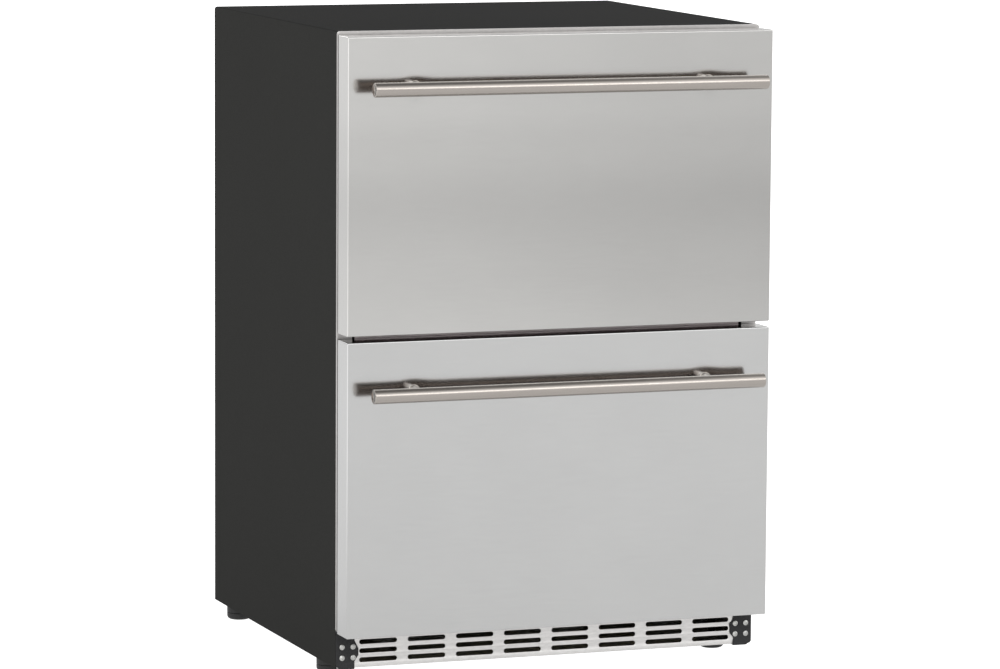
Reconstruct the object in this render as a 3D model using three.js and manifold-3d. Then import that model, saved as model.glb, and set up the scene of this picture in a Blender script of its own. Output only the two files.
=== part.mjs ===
// A two-drawer under-counter refrigerator. Millimetres, +Z up, the drawers open towards -Y.
// The origin is at floor level, at the centre of the object's plan outline.
import * as THREE from "three";
import { mergeVertices } from "three/addons/utils/BufferGeometryUtils.js";
import Module from "manifold-3d";

const wasm = await Module();
wasm.setup();

// ---- Driving dimensions ----
// Heights are from the floor. Inside the appliance group, y is 0 at the cabinet's front edge.
const CABINET = { width: 595, depth: 545, bottom: 20, top: 863, cornerRadius: 4, floorReturn: 11 };
const SHEET = 1; // painted steel of the outer wrapper
const GAP = 0.3; // between faces that rest on each other
const HALF_WIDTH = CABINET.width / 2;

const FRAME = { thickness: 5, bottom: 69, openingHalfWidth: 257, openingRadius: 3 };
const CAVITY = { bottom: 115, top: 823, back: 490, stepY: 300, stepZ: 287, liner: 1.5 };
const MULLION = { bottom: 433, top: 494, halfWidth: 273, depth: 40, wall: 1.5, lap: 4 };
const MULLION_SEAT = { gap: 3.5, recess: 1 };

const FRONT = { width: 597, thickness: 39, sheet: 1, cornerRadius: 2.5, returnFlange: 10 };
const GASKET = { thickness: 6, inset: 8, width: 16, outerRadius: 5, innerRadius: 2 };
const PLUG = { proud: 19, clearance: 5, cornerRadius: 12 };
const FRONT_BACK_Y = -(FRAME.thickness + GASKET.thickness);
const FRONT_FACE_Y = FRONT_BACK_Y - FRONT.thickness;

const HANDLE = { length: 550, radius: 9.5, reach: 38, postSpacing: 412, below: 66.5, edge: 0.8 };
const POST_RADIUS = 6.6;
const HANDLE_Y = FRONT_FACE_Y - HANDLE.reach;

const TUB = { halfWidth: 243, wall: 1.2, back: 440, lip: 6, stepGap: 14 };
const RAIL = { front: 12, length: 440, sheet: 1.3, run: 428 };

const UPPER = {
  name: "upper",
  front: [467.3, 858.5],
  opening: [MULLION.top, CAVITY.top],
  tub: [509, 769],
  railZ: 597,
};
const LOWER = {
  name: "lower",
  front: [67.8, 459.5],
  opening: [CAVITY.bottom, MULLION.bottom],
  tub: [129, 393],
  railZ: 343,
  step: { y: CAVITY.stepY - TUB.stepGap, z: CAVITY.stepZ + TUB.stepGap },
};

const FOOT = { x: 277, frontY: 88, backY: 495, padRadius: 17, padEdge: 5.5, studRadius: 5, studTop: 48 };
const PAN = { bottom: 21.3, sheet: 1.2, halfWidth: 296.2, flangeTop: 76.7, back: 527 };
const FOAM = { floor: 77, machineY: 325, machineTop: 252, back: 543 };
const REAR_COVER = { y: 528, sheet: 1.2, bottom: 23, top: 251 };
const REAR_SLOTS = { columns: 14, pitch: 34, width: 8, bottom: 116, top: 211 };
const GLAND = { x: 236, z: 62, bore: 4, neck: 6.6, hole: 7, flange: 12, nose: 6 };

const KICK = { halfWidth: 296, top: 67, sheet: 1.2, returnDepth: 10 };
const SLOT = { columns: 8, rows: 3, pitchX: 68, pitchZ: 12.1, length: 52.8, height: 6.3, firstZ: 29.9 };
const BRACKET = { innerX: 271.5, top: 67.5, sheet: 1.5, legDepth: 32, chamfer: { x: 7.5, z: 4.5 } };
const BRACKET_BULGE = { proud: 5.5, from: 29, full: [37, 46], to: 57 };
const BRACKET_SCREW = { xs: [289, 273.7], zs: [34, 48.5], headRadius: 3.6, headHeight: 1.9, length: 9 };
const SCREW = { shankRadius: 1.8, holeRadius: 2.3 };

const COMPRESSOR = { x: -150, y: 428, radius: 60, base: 23, height: 132, seam: 4, plate: [76, 58, 3] };
const CONDENSER = { x: [70, 130], y: [352, 512], z: [27, 223], fins: 18, fin: 1.6, header: 6 };
const FAN_HOUSING = { x: [0, 30], y: [350, 514], z: [23, 239], hole: 79, ductWall: 3, plate: 4, arm: 6 };
const FAN_CENTRE = { y: 432, z: 131 };
const FAN_MOTOR = { radius: 22, length: 42, shaftRadius: 3, shaftPlay: 0.15 };
const CONDENSER_FAN = { radius: 75, hub: 20, from: 6, to: 26, shaft: -7, blades: 5, chord: 30, pitch: 62 };
const EVAPORATOR_FAN = { radius: 42, hub: 14, from: 9, to: 20, shaft: 3, blades: 7, chord: 13, pitch: 55 };
const EVAPORATOR = { halfWidth: 190, z: [319, 787], front: 462, wall: 2, fanZ: 637 };
const EVAPORATOR_MOUNT = { fanHole: 46, motor: 16 };
const AIR_SLOTS = { xs: [-144, -96, -48, 48, 96, 144], levels: [343, 741], length: 32, height: 6 };
const COIL = { halfWidth: 150, y: [467, 487], z: [372, 560], fins: 14, fin: 1.5, tube: 4 };

const CONTROL = { halfWidth: 78, y: [44, 92], bottom: 797, slope: [14, 12], pocket: 8 };
const BUTTON_PLACE = { x: 46, z: 809 };
const BUTTON = { halfWidth: 8, halfHeight: 4.5, proud: 1.6, length: 6.5, play: 0.4 };

// ---- Materials ----
const material = (color, roughness, metalness) =>
  new THREE.MeshStandardMaterial({ color, roughness, metalness });
const MATERIALS = {
  blackPaint: material(0x3b3b39, 0.55, 0.1),
  stainless: material(0xc4c4c2, 0.35, 0.9),
  handleSteel: material(0xc2bdb4, 0.3, 0.95),
  galvanised: material(0xa2a4a5, 0.5, 0.8),
  frameSteel: material(0x8f8e8b, 0.4, 0.8),
  liner: material(0xe9eaea, 0.4, 0.0),
  foam: material(0xe6d9a6, 0.9, 0.0),
  gasket: material(0x4d4d4d, 0.7, 0.0),
  blackPlastic: material(0x121212, 0.6, 0.0),
  bracketSteel: material(0x3a3a3c, 0.45, 0.5),
  zinc: material(0xb9b9b6, 0.3, 0.9),
  blackCan: material(0x1b1b1c, 0.35, 0.4),
  aluminium: material(0xb8babb, 0.4, 0.9),
};

// ---- Geometry helpers ----
const span = (a, b) => [b - a, (a + b) / 2];

function box(x0, x1, y0, y1, z0, z1) {
  const [width, x] = span(x0, x1);
  const [depth, y] = span(y0, y1);
  const [height, z] = span(z0, z1);
  return new THREE.BoxGeometry(width, depth, height).translate(x, y, z);
}

function outline(points) {
  return new THREE.Shape(points.map(([a, b]) => new THREE.Vector2(a, b)));
}

// A rectangle whose corners are arcs of the given radius.
function roundedRectangle(a0, a1, b0, b1, radius) {
  const shape = new THREE.Shape();
  shape.moveTo(a0 + radius, b0);
  shape.lineTo(a1 - radius, b0);
  shape.absarc(a1 - radius, b0 + radius, radius, -Math.PI / 2, 0);
  shape.lineTo(a1, b1 - radius);
  shape.absarc(a1 - radius, b1 - radius, radius, 0, Math.PI / 2);
  shape.lineTo(a0 + radius, b1);
  shape.absarc(a0 + radius, b1 - radius, radius, Math.PI / 2, Math.PI);
  shape.lineTo(a0, b0 + radius);
  shape.absarc(a0 + radius, b0 + radius, radius, Math.PI, 1.5 * Math.PI);
  return shape;
}

const extrude = (shape, depth, segments) =>
  new THREE.ExtrudeGeometry(shape, { depth, bevelEnabled: false, curveSegments: segments });

// The outline is drawn in (x, z) and runs from y0 to y1.
const prismY = (shape, y0, y1, segments = 5) =>
  extrude(shape, y1 - y0, segments).rotateX(Math.PI / 2).translate(0, y1, 0);

// The outline is drawn in (x, y) and runs from z0 to z1.
const prismZ = (shape, z0, z1, segments = 5) => extrude(shape, z1 - z0, segments).translate(0, 0, z0);

// The outline is drawn in (y, z) and runs from x0 to x1.
const YZ_TO_X = new THREE.Matrix4().makeBasis(
  new THREE.Vector3(0, 1, 0),
  new THREE.Vector3(0, 0, 1),
  new THREE.Vector3(1, 0, 0),
);
const prismX = (shape, x0, x1, segments = 5) =>
  extrude(shape, x1 - x0, segments).applyMatrix4(YZ_TO_X).translate(x0, 0, 0);

// A turned piece. The profile is [radius, distance along the axis] from the bottom up.
function turned(profile, axis, segments = 24) {
  const points = profile.map(([r, h]) => new THREE.Vector2(r, h));
  const geometry = new THREE.LatheGeometry(points, segments);
  if (axis === "z") geometry.rotateX(Math.PI / 2);
  if (axis === "x") geometry.rotateZ(-Math.PI / 2);
  return geometry;
}

const cylinder = (radius, from, to, axis, segments = 24) =>
  turned([[0, from], [radius, from], [radius, to], [0, to]], axis, segments);

// ---- Joining and cutting ----
function solid(geometry) {
  const bare = geometry.clone();
  bare.deleteAttribute("normal");
  bare.deleteAttribute("uv");
  const merged = mergeVertices(bare, 1e-4);
  const mesh = new wasm.Mesh({
    numProp: 3,
    vertProperties: merged.attributes.position.array,
    triVerts: new Uint32Array(merged.index.array),
  });
  return new wasm.Manifold(mesh);
}

function geometryOf(manifold) {
  const mesh = manifold.getMesh();
  const geometry = new THREE.BufferGeometry();
  geometry.setAttribute("position", new THREE.BufferAttribute(mesh.vertProperties, 3));
  geometry.setIndex(new THREE.BufferAttribute(mesh.triVerts, 1));
  geometry.computeVertexNormals();
  return geometry;
}

const joined = (...geometries) =>
  geometryOf(geometries.map(solid).reduce((whole, next) => whole.add(next)));

const cut = (geometry, ...tools) =>
  geometryOf(tools.reduce((left, tool) => left.subtract(solid(tool)), solid(geometry)));

// ---- Assembly ----
const fridge = new THREE.Group();
fridge.name = "under_counter_fridge";
// The appliance group carries y = 0 at the cabinet's front edge to the centre of the whole depth.
const appliance = new THREE.Group();
appliance.position.y = -(CABINET.depth + HANDLE_Y - HANDLE.radius) / 2;
fridge.add(appliance);

function add(parent, name, geometry, finish) {
  const mesh = new THREE.Mesh(geometry, finish);
  mesh.name = name;
  parent.add(mesh);
  return mesh;
}

// ---- Cabinet shell ----
function cabinetWrapper() {
  const arch = (inset) => {
    const side = HALF_WIDTH - inset;
    const top = CABINET.top - inset;
    const radius = CABINET.cornerRadius - inset;
    const shape = new THREE.Shape();
    shape.moveTo(side, CABINET.bottom);
    shape.lineTo(side, top - radius);
    shape.absarc(side - radius, top - radius, radius, 0, Math.PI / 2);
    shape.lineTo(radius - side, top);
    shape.absarc(radius - side, top - radius, radius, Math.PI / 2, Math.PI);
    shape.lineTo(-side, CABINET.bottom);
    return shape;
  };
  const floorReturn = (side) => {
    const edge = side * (HALF_WIDTH - SHEET / 2);
    const inner = side * (HALF_WIDTH - CABINET.floorReturn);
    const z0 = CABINET.bottom;
    return box(Math.min(edge, inner), Math.max(edge, inner), 0, CABINET.depth, z0, z0 + SHEET);
  };
  const shell = cut(prismY(arch(0), 0, CABINET.depth), prismY(arch(SHEET), -1, CABINET.depth + 1));
  return joined(shell, floorReturn(-1), floorReturn(1));
}

function rearPanel() {
  const half = HALF_WIDTH - SHEET - GAP;
  const top = CABINET.top - SHEET - GAP;
  const sheet = roundedRectangle(-half, half, FOAM.machineTop, top, CABINET.cornerRadius);
  return prismY(sheet, FOAM.back + GAP, CABINET.depth - GAP, 2);
}

// The stepped side outline of the food compartment, grown by a margin on every side but the front.
function cavityOutline(front, margin) {
  const low = CAVITY.bottom - margin;
  const high = CAVITY.top + margin;
  const back = CAVITY.back + margin;
  return outline([
    [front, low],
    [CAVITY.stepY + margin, low],
    [CAVITY.stepY + margin, CAVITY.stepZ - margin],
    [back, CAVITY.stepZ - margin],
    [back, high],
    [front, high],
  ]);
}

function innerLiner() {
  const half = FRAME.openingHalfWidth;
  const outside = prismX(cavityOutline(0, CAVITY.liner), -half - CAVITY.liner, half + CAVITY.liner);
  return cut(outside, prismX(cavityOutline(-5, 0), -half, half));
}

function foamCore() {
  const half = HALF_WIDTH - SHEET - GAP;
  const top = CABINET.top - SHEET - GAP;
  const front = 1;
  const block = outline([
    [front, FOAM.floor],
    [FOAM.machineY, FOAM.floor],
    [FOAM.machineY, FOAM.machineTop],
    [FOAM.back, FOAM.machineTop],
    [FOAM.back, top],
    [front, top],
  ]);
  const room = FRAME.openingHalfWidth + CAVITY.liner + GAP;
  const hollow = prismX(cavityOutline(front - 5, CAVITY.liner + GAP), -room, room);
  const body = cut(prismX(block, -half, half), hollow);
  // The two long top edges clear the wrapper's bends.
  const bend = CABINET.cornerRadius;
  const relief = (side) =>
    box(side * half - bend, side * half + bend, 0, CABINET.depth, top - bend, top + bend);
  return cut(body, relief(-1), relief(1));
}

function frontFrame() {
  const radius = CABINET.cornerRadius;
  const plate = roundedRectangle(-HALF_WIDTH, HALF_WIDTH, FRAME.bottom, CABINET.top, radius);
  const half = FRAME.openingHalfWidth;
  const opening = roundedRectangle(-half, half, CAVITY.bottom, CAVITY.top, FRAME.openingRadius);
  const mullionSeat = MULLION.halfWidth + MULLION_SEAT.gap;
  return cut(
    prismY(plate, -FRAME.thickness, -GAP),
    prismY(opening, -FRAME.thickness - 1, 1),
    box(-mullionSeat, mullionSeat, -FRAME.thickness - 1, 1, MULLION.bottom, MULLION.top),
  );
}

// A flanged channel across the opening, open towards the back.
function mullion() {
  const { bottom, top, halfWidth, depth, wall, lap } = MULLION;
  const face = MULLION_SEAT.recess - FRAME.thickness;
  const half = FRAME.openingHalfWidth - GAP;
  const [z0, z1] = [bottom + lap, top - lap];
  return cut(
    joined(
      box(-halfWidth, halfWidth, face, -GAP, bottom + GAP, top - GAP),
      box(-half, half, -2 * GAP, depth, z0, z1),
    ),
    box(wall - half, half - wall, wall - GAP, depth + 1, z0 + wall, z1 - wall),
  );
}

add(appliance, "cabinet_wrapper", cabinetWrapper(), MATERIALS.blackPaint);
add(appliance, "rear_panel", rearPanel(), MATERIALS.galvanised);
add(appliance, "foam_core", foamCore(), MATERIALS.foam);
add(appliance, "inner_liner", innerLiner(), MATERIALS.liner);
add(appliance, "front_frame", frontFrame(), MATERIALS.frameSteel);
add(appliance, "mullion", mullion(), MATERIALS.frameSteel);

// ---- Base, kick grille and corner brackets ----
function basePan() {
  const { bottom, sheet, halfWidth, flangeTop, back } = PAN;
  const front = 2;
  const plate = box(-halfWidth, halfWidth, front, back, bottom, bottom + sheet);
  const flanges = [-1, 1].map((side) => {
    const [a, b] = [side * halfWidth, side * (halfWidth - sheet)];
    return box(Math.min(a, b), Math.max(a, b), front, back, bottom, flangeTop);
  });
  const holes = footPlaces().map(({ x, y }) =>
    cylinder(FOOT.studRadius + 0.6, bottom - 1, bottom + sheet + 1, "z").translate(x, y, 0),
  );
  return cut(joined(plate, ...flanges), ...holes);
}

function footPlaces() {
  return [
    { name: "foot_front_left", x: -FOOT.x, y: FOOT.frontY },
    { name: "foot_front_right", x: FOOT.x, y: FOOT.frontY },
    { name: "foot_back_left", x: -FOOT.x, y: FOOT.backY },
    { name: "foot_back_right", x: FOOT.x, y: FOOT.backY },
  ];
}

// A plastic pad with a rounded lower edge on a stud. Screwed fully in, its top meets the cabinet.
function foot() {
  const { padRadius, padEdge, studRadius, studTop } = FOOT;
  const padTop = CABINET.bottom - GAP;
  const profile = [[0, 0]];
  const steps = 3;
  for (let i = 0; i <= steps; i++) {
    const angle = (i / steps) * (Math.PI / 2);
    profile.push([padRadius - padEdge + padEdge * Math.sin(angle), padEdge - padEdge * Math.cos(angle)]);
  }
  profile.push([padRadius, padTop], [studRadius, padTop]);
  profile.push([studRadius, studTop - 1], [studRadius - 1, studTop], [0, studTop]);
  return turned(profile, "z", 20);
}

function slotOutline(x, z) {
  const long = SLOT.length / 2;
  const high = SLOT.height / 2;
  return roundedRectangle(x - long, x + long, z - high, z + high, high - 0.01);
}

function kickGrille() {
  const face = -GAP - KICK.sheet;
  const sheet = box(-KICK.halfWidth, KICK.halfWidth, face, -GAP, CABINET.bottom, KICK.top);
  const half = BRACKET.innerX - 4;
  const floorReturn = box(-half, half, face, KICK.returnDepth, CABINET.bottom, CABINET.bottom + 1);
  const slots = [];
  for (let column = 0; column < SLOT.columns; column++) {
    const x = (column - (SLOT.columns - 1) / 2) * SLOT.pitchX;
    for (let row = 0; row < SLOT.rows; row++) {
      const shape = slotOutline(x, SLOT.firstZ + row * SLOT.pitchZ);
      slots.push(prismY(shape, face - 1, -GAP + 1, 3));
    }
  }
  const holes = [-1, 1].flatMap((side) =>
    BRACKET_SCREW.xs.flatMap((x) => BRACKET_SCREW.zs.map((z) => screwHole(face, KICK.sheet, side * x, z))),
  );
  return cut(joined(sheet, floorReturn), ...slots, ...holes);
}

const screwHole = (face, sheet, x, z) =>
  cylinder(SCREW.holeRadius, face - 1, face + sheet + 1, "y", 8).translate(x, 0, z);

// A corner bracket: a front plate with a bulge on its inner edge, and a leg under the cabinet.
function cornerBracket(side) {
  const outer = HALF_WIDTH;
  const { innerX: inner, chamfer } = BRACKET;
  const legTop = CABINET.bottom - GAP;
  const legBottom = legTop - BRACKET.sheet;
  const bulge = inner - BRACKET_BULGE.proud;
  const face = -2 * GAP - KICK.sheet - BRACKET.sheet;
  const plate = outline([
    [side * inner, legBottom],
    [side * (outer - chamfer.x), legBottom],
    [side * outer, legBottom + chamfer.z],
    [side * outer, BRACKET.top],
    [side * inner, BRACKET.top],
    [side * inner, BRACKET_BULGE.to],
    [side * bulge, BRACKET_BULGE.full[1]],
    [side * bulge, BRACKET_BULGE.full[0]],
    [side * inner, BRACKET_BULGE.from],
  ]);
  const holes = BRACKET_SCREW.xs.flatMap((x) =>
    BRACKET_SCREW.zs.map((z) => screwHole(face, BRACKET.sheet, side * x, z)),
  );
  const legX = [side * inner, side * (outer - chamfer.x)].sort((a, b) => a - b);
  const leg = box(legX[0], legX[1], face, BRACKET.legDepth, legBottom, legTop);
  return cut(joined(prismY(plate, face, face + BRACKET.sheet), leg), ...holes);
}

// A pan-head screw whose shank passes through the bracket and the grille sheet.
function bracketScrew() {
  const { headRadius, headHeight, length } = BRACKET_SCREW;
  const shank = SCREW.shankRadius;
  const bracketFace = -2 * GAP - KICK.sheet - BRACKET.sheet;
  const profile = [
    [0, -headHeight],
    [headRadius * 0.55, -headHeight],
    [headRadius * 0.9, -headHeight * 0.6],
    [headRadius, -GAP],
    [shank, -GAP],
    [shank, length],
    [0, length],
  ];
  return turned(profile, "y", 12).translate(0, bracketFace, 0);
}

add(appliance, "base_pan", basePan(), MATERIALS.galvanised);
add(appliance, "kick_grille", kickGrille(), MATERIALS.stainless);
for (const [word, side] of [["left", -1], ["right", 1]]) {
  add(appliance, `bracket_${word}`, cornerBracket(side), MATERIALS.bracketSteel);
  BRACKET_SCREW.xs.forEach((x, column) =>
    BRACKET_SCREW.zs.forEach((z, row) => {
      const name = `bracket_screw_${word}_${["outer", "inner"][column]}_${["low", "high"][row]}`;
      add(appliance, name, bracketScrew(), MATERIALS.zinc).position.set(side * x, 0, z);
    }),
  );
}
for (const { name, x, y } of footPlaces()) {
  add(appliance, name, foot(), MATERIALS.blackPlastic).position.set(x, y, 0);
}

// ---- Machine compartment ----
function compressor() {
  const { radius, base, height, seam, plate } = COMPRESSOR;
  const can = turned(
    [
      [0, base + 8],
      [radius * 0.7, base + 8],
      [radius * 0.94, base + 22],
      [radius, base + 40],
      [radius, base + height * 0.62],
      [radius * 0.93, base + height * 0.78],
      [radius * 0.74, base + height * 0.91],
      [radius * 0.42, base + height * 0.98],
      [0, base + height],
    ],
    "z",
    20,
  );
  const seamZ = base + height * 0.42;
  const weld = cylinder(radius + seam, seamZ, seamZ + seam, "z", 20);
  const bottomPlate = box(-plate[0], plate[0], -plate[1], plate[1], base, base + plate[2]);
  const pedestal = cylinder(radius / 2, base + 2, base + 12, "z", 20);
  return joined(can, weld, pedestal, bottomPlate);
}

// A finned block: horizontal fins on one upright header.
function condenser() {
  const { x, y, z, fins, fin, header } = CONDENSER;
  const pitch = (z[1] - z[0] - fin) / (fins - 1);
  const spine = box(x[0], x[1], y[0], y[0] + header, z[0], z[1]);
  const plates = [];
  for (let i = 0; i < fins; i++) {
    const bottom = z[0] + i * pitch;
    plates.push(box(x[0], x[1], y[0] + 1, y[1], bottom, bottom + fin));
  }
  return joined(spine, ...plates);
}

// The fan's housing: a plate with a round duct, and a motor held on three arms.
function fanHousing() {
  const { x, y, z, hole, ductWall, plate, arm } = FAN_HOUSING;
  const at = (geometry) => geometry.translate(0, FAN_CENTRE.y, FAN_CENTRE.z);
  const duct = cut(
    joined(
      box(x[1] - plate, x[1], y[0], y[1], z[0], z[1]),
      at(cylinder(hole + ductWall, x[0], x[1], "x", 36)),
    ),
    at(cylinder(hole, x[0] - 1, x[1] + 1, "x", 36)),
  );
  const arms = [90, 210, 330].map((degrees) => {
    const bar = box(x[0] - arm, x[0] + 0.5, -arm, arm, FAN_MOTOR.radius - arm, hole + ductWall / 2);
    return at(bar.rotateX(THREE.MathUtils.degToRad(degrees)));
  });
  const motor = at(cylinder(FAN_MOTOR.radius, x[0] - FAN_MOTOR.length, x[0], "x"));
  const bore = FAN_MOTOR.shaftRadius + FAN_MOTOR.shaftPlay;
  return cut(joined(duct, motor, ...arms), at(cylinder(bore, x[0] - 9, x[0] + 1, "x")));
}

// A propeller about the x axis: a hub with a stub shaft, and pitched blades.
function propeller({ radius, hub, from, to, shaft, blades, chord, pitch }) {
  const parts = [cylinder(hub, from, to, "x", 28), cylinder(FAN_MOTOR.shaftRadius, shaft, from + 1, "x")];
  const middle = (from + to) / 2;
  for (let i = 0; i < blades; i++) {
    const blade = box(-1, 1, -chord / 2, chord / 2, hub - 3, radius);
    blade.rotateZ(THREE.MathUtils.degToRad(pitch)).translate(middle, 0, 0);
    parts.push(blade.rotateX((i / blades) * 2 * Math.PI));
  }
  return joined(...parts);
}

function rearCover() {
  const { y, sheet, bottom, top } = REAR_COVER;
  const half = HALF_WIDTH - SHEET - GAP;
  const slots = Array.from({ length: REAR_SLOTS.columns }, (_, i) => {
    const x = (i - (REAR_SLOTS.columns - 1) / 2) * REAR_SLOTS.pitch;
    const wide = REAR_SLOTS.width / 2;
    return box(x - wide, x + wide, y - 1, y + sheet + 1, REAR_SLOTS.bottom, REAR_SLOTS.top);
  });
  const gland = cylinder(GLAND.hole, y - 1, y + sheet + 1, "y", 16).translate(GLAND.x, 0, GLAND.z);
  return cut(box(-half, half, y, y + sheet, bottom, top), ...slots, gland);
}

// A flanged strain relief with an open bore for the supply cord.
function cordGland() {
  const { bore, neck, flange, nose } = GLAND;
  const inside = REAR_COVER.y - 6;
  const seat = REAR_COVER.y + REAR_COVER.sheet + GAP;
  const tip = CABINET.depth - 1;
  return turned(
    [
      [bore, inside],
      [neck, inside],
      [neck, seat],
      [flange, seat],
      [flange, seat + 3],
      [nose + 2, seat + 4],
      [nose, tip],
      [bore, tip],
      [bore, inside],
    ],
    "y",
    16,
  ).translate(GLAND.x, 0, GLAND.z);
}

add(appliance, "compressor", compressor(), MATERIALS.blackCan).position.set(COMPRESSOR.x, COMPRESSOR.y, 0);
add(appliance, "condenser", condenser(), MATERIALS.aluminium);
add(appliance, "condenser_fan_housing", fanHousing(), MATERIALS.blackPlastic);
add(appliance, "condenser_fan", propeller(CONDENSER_FAN), MATERIALS.blackPlastic).position.set(
  0,
  FAN_CENTRE.y,
  FAN_CENTRE.z,
);
add(appliance, "rear_cover", rearCover(), MATERIALS.galvanised);
add(appliance, "cord_gland", cordGland(), MATERIALS.blackPlastic);

// ---- Inside the food compartment ----
function airSlot(x, low, y, sheet) {
  const half = AIR_SLOTS.length / 2;
  return box(x - half, x + half, y - 1, y + sheet + 1, low, low + AIR_SLOTS.height);
}

// A finned coil: upright fins threaded on level tubes.
function evaporatorCoil() {
  const { halfWidth, y, z, fins, fin, tube } = COIL;
  const middle = (y[0] + y[1]) / 2;
  const tubes = [2, 6].map((n) => {
    const level = z[0] + (n / 8) * (z[1] - z[0]);
    return box(-halfWidth, halfWidth, middle - tube, middle + tube, level - tube, level + tube);
  });
  const pitch = (2 * halfWidth - fin) / (fins - 1);
  const plates = Array.from({ length: fins }, (_, i) => {
    const x = i * pitch - halfWidth;
    return box(x, x + fin, y[0], y[1], z[0], z[1]);
  });
  return joined(...tubes, ...plates);
}

// A moulded tray on the back wall, with a fan opening, three arms that carry the motor, and air slots.
function evaporatorCover() {
  const { halfWidth, z, front, wall, fanZ } = EVAPORATOR;
  const { fanHole, motor } = EVAPORATOR_MOUNT;
  const back = CAVITY.back - GAP;
  const shell = cut(
    prismY(roundedRectangle(-halfWidth, halfWidth, z[0], z[1], 8), front, back),
    box(wall - halfWidth, halfWidth - wall, front + wall, back + 1, z[0] + wall, z[1] - wall),
    cylinder(fanHole, front - 1, front + wall + 1, "y", 36).translate(0, 0, fanZ),
    ...AIR_SLOTS.levels.flatMap((low) => AIR_SLOTS.xs.map((x) => airSlot(x, low, front, wall))),
  );
  const arms = [0, 120, 240].map((degrees) =>
    box(-3.5, 3.5, front, front + wall, motor - 4, fanHole + 1)
      .rotateY(THREE.MathUtils.degToRad(degrees))
      .translate(0, 0, fanZ),
  );
  const motorDepth = 7;
  const can = cylinder(motor, front, front + motorDepth, "y").translate(0, 0, fanZ);
  const bore = FAN_MOTOR.shaftRadius + FAN_MOTOR.shaftPlay;
  const socket = cylinder(bore, front + wall, front + motorDepth + 1, "y").translate(0, 0, fanZ);
  return cut(joined(shell, can, ...arms), socket);
}

function controlPanel() {
  const { halfWidth, y, bottom, slope, pocket } = CONTROL;
  const profile = outline([
    [y[0], bottom],
    [y[1] - slope[0], bottom],
    [y[1], bottom + slope[1]],
    [y[1], CAVITY.top - GAP],
    [y[0], CAVITY.top - GAP],
  ]);
  const pockets = [-BUTTON_PLACE.x, BUTTON_PLACE.x].map((x) => {
    const wide = BUTTON.halfWidth + BUTTON.play;
    const high = BUTTON.halfHeight + BUTTON.play;
    const { z } = BUTTON_PLACE;
    return box(x - wide, x + wide, y[0] - 1, y[0] + pocket, z - high, z + high);
  });
  return cut(prismX(profile, -halfWidth, halfWidth), ...pockets);
}

function button() {
  const { halfWidth, halfHeight } = BUTTON;
  const shape = roundedRectangle(-halfWidth, halfWidth, -halfHeight, halfHeight, 1.5);
  return prismY(shape, -BUTTON.proud, BUTTON.length - BUTTON.proud, 4);
}

add(appliance, "evaporator_cover", evaporatorCover(), MATERIALS.liner);
add(appliance, "evaporator_coil", evaporatorCoil(), MATERIALS.aluminium);
const evaporatorFan = propeller(EVAPORATOR_FAN).rotateZ(Math.PI / 2);
add(appliance, "evaporator_fan", evaporatorFan, MATERIALS.blackPlastic).position.set(
  0,
  EVAPORATOR.front,
  EVAPORATOR.fanZ,
);
add(appliance, "control_panel", controlPanel(), MATERIALS.blackPlastic);
for (const [name, side] of [["button_colder", -1], ["button_warmer", 1]]) {
  add(appliance, name, button(), MATERIALS.bracketSteel).position.set(
    side * BUTTON_PLACE.x,
    CONTROL.y[0],
    BUTTON_PLACE.z,
  );
}

// ---- Telescopic rails ----
// Each member is a C section in (x, z). Distances inward are from the compartment's side wall.
function railSection({ web, reach, halfHeight, towardsWall }) {
  const t = RAIL.sheet;
  const near = towardsWall ? web : reach;
  const far = towardsWall ? reach : web;
  const webInner = towardsWall ? web - t : web + t;
  const [open, shut] = towardsWall ? [far, near] : [near, far];
  return outline([
    [shut, -halfHeight],
    [open, -halfHeight],
    [open, t - halfHeight],
    [webInner, t - halfHeight],
    [webInner, halfHeight - t],
    [open, halfHeight - t],
    [open, halfHeight],
    [shut, halfHeight],
  ]);
}

const RAIL_MEMBERS = {
  fixed: { web: GAP, reach: 9.2, halfHeight: 22.5, towardsWall: false, length: RAIL.length },
  middle: { web: 2.4, reach: 11.2, halfHeight: 18.4, towardsWall: false, length: RAIL.run },
  inner: { web: 13.7, reach: 5, halfHeight: 14.2, towardsWall: true, length: RAIL.run },
};

function rail(member, side, z) {
  const section = railSection(member);
  const geometry = prismY(section, RAIL.front, RAIL.front + member.length);
  // Drawn from the left wall inward; the right-hand rail is the same section turned about y.
  if (side > 0) geometry.rotateY(Math.PI);
  return geometry.translate(side * FRAME.openingHalfWidth, 0, z);
}

function addRails(parent, drawer, word, memberName) {
  for (const [hand, side] of [["left", -1], ["right", 1]]) {
    const name = `${drawer.name}_${word}_rail_${hand}`;
    add(parent, name, rail(RAIL_MEMBERS[memberName], side, drawer.railZ), MATERIALS.zinc);
  }
}

// ---- Drawers ----
function frontSkin([z0, z1]) {
  const half = FRONT.width / 2;
  const t = FRONT.sheet;
  const back = FRONT_BACK_Y;
  const plan = new THREE.Shape();
  plan.moveTo(-half, back);
  plan.lineTo(-half, FRONT_FACE_Y + FRONT.cornerRadius);
  plan.absarc(
    FRONT.cornerRadius - half,
    FRONT_FACE_Y + FRONT.cornerRadius,
    FRONT.cornerRadius,
    Math.PI,
    1.5 * Math.PI,
  );
  plan.lineTo(half - FRONT.cornerRadius, FRONT_FACE_Y);
  plan.absarc(
    half - FRONT.cornerRadius,
    FRONT_FACE_Y + FRONT.cornerRadius,
    FRONT.cornerRadius,
    -Math.PI / 2,
    0,
  );
  plan.lineTo(half, back);
  const flange = FRONT.returnFlange;
  return cut(
    prismZ(plan, z0, z1),
    box(t - half, half - t, FRONT_FACE_Y + t, back - t, z0 + t, z1 - t),
    box(flange - half, half - flange, back - 2 * t, back + 1, z0 + flange, z1 - flange),
  );
}

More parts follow.
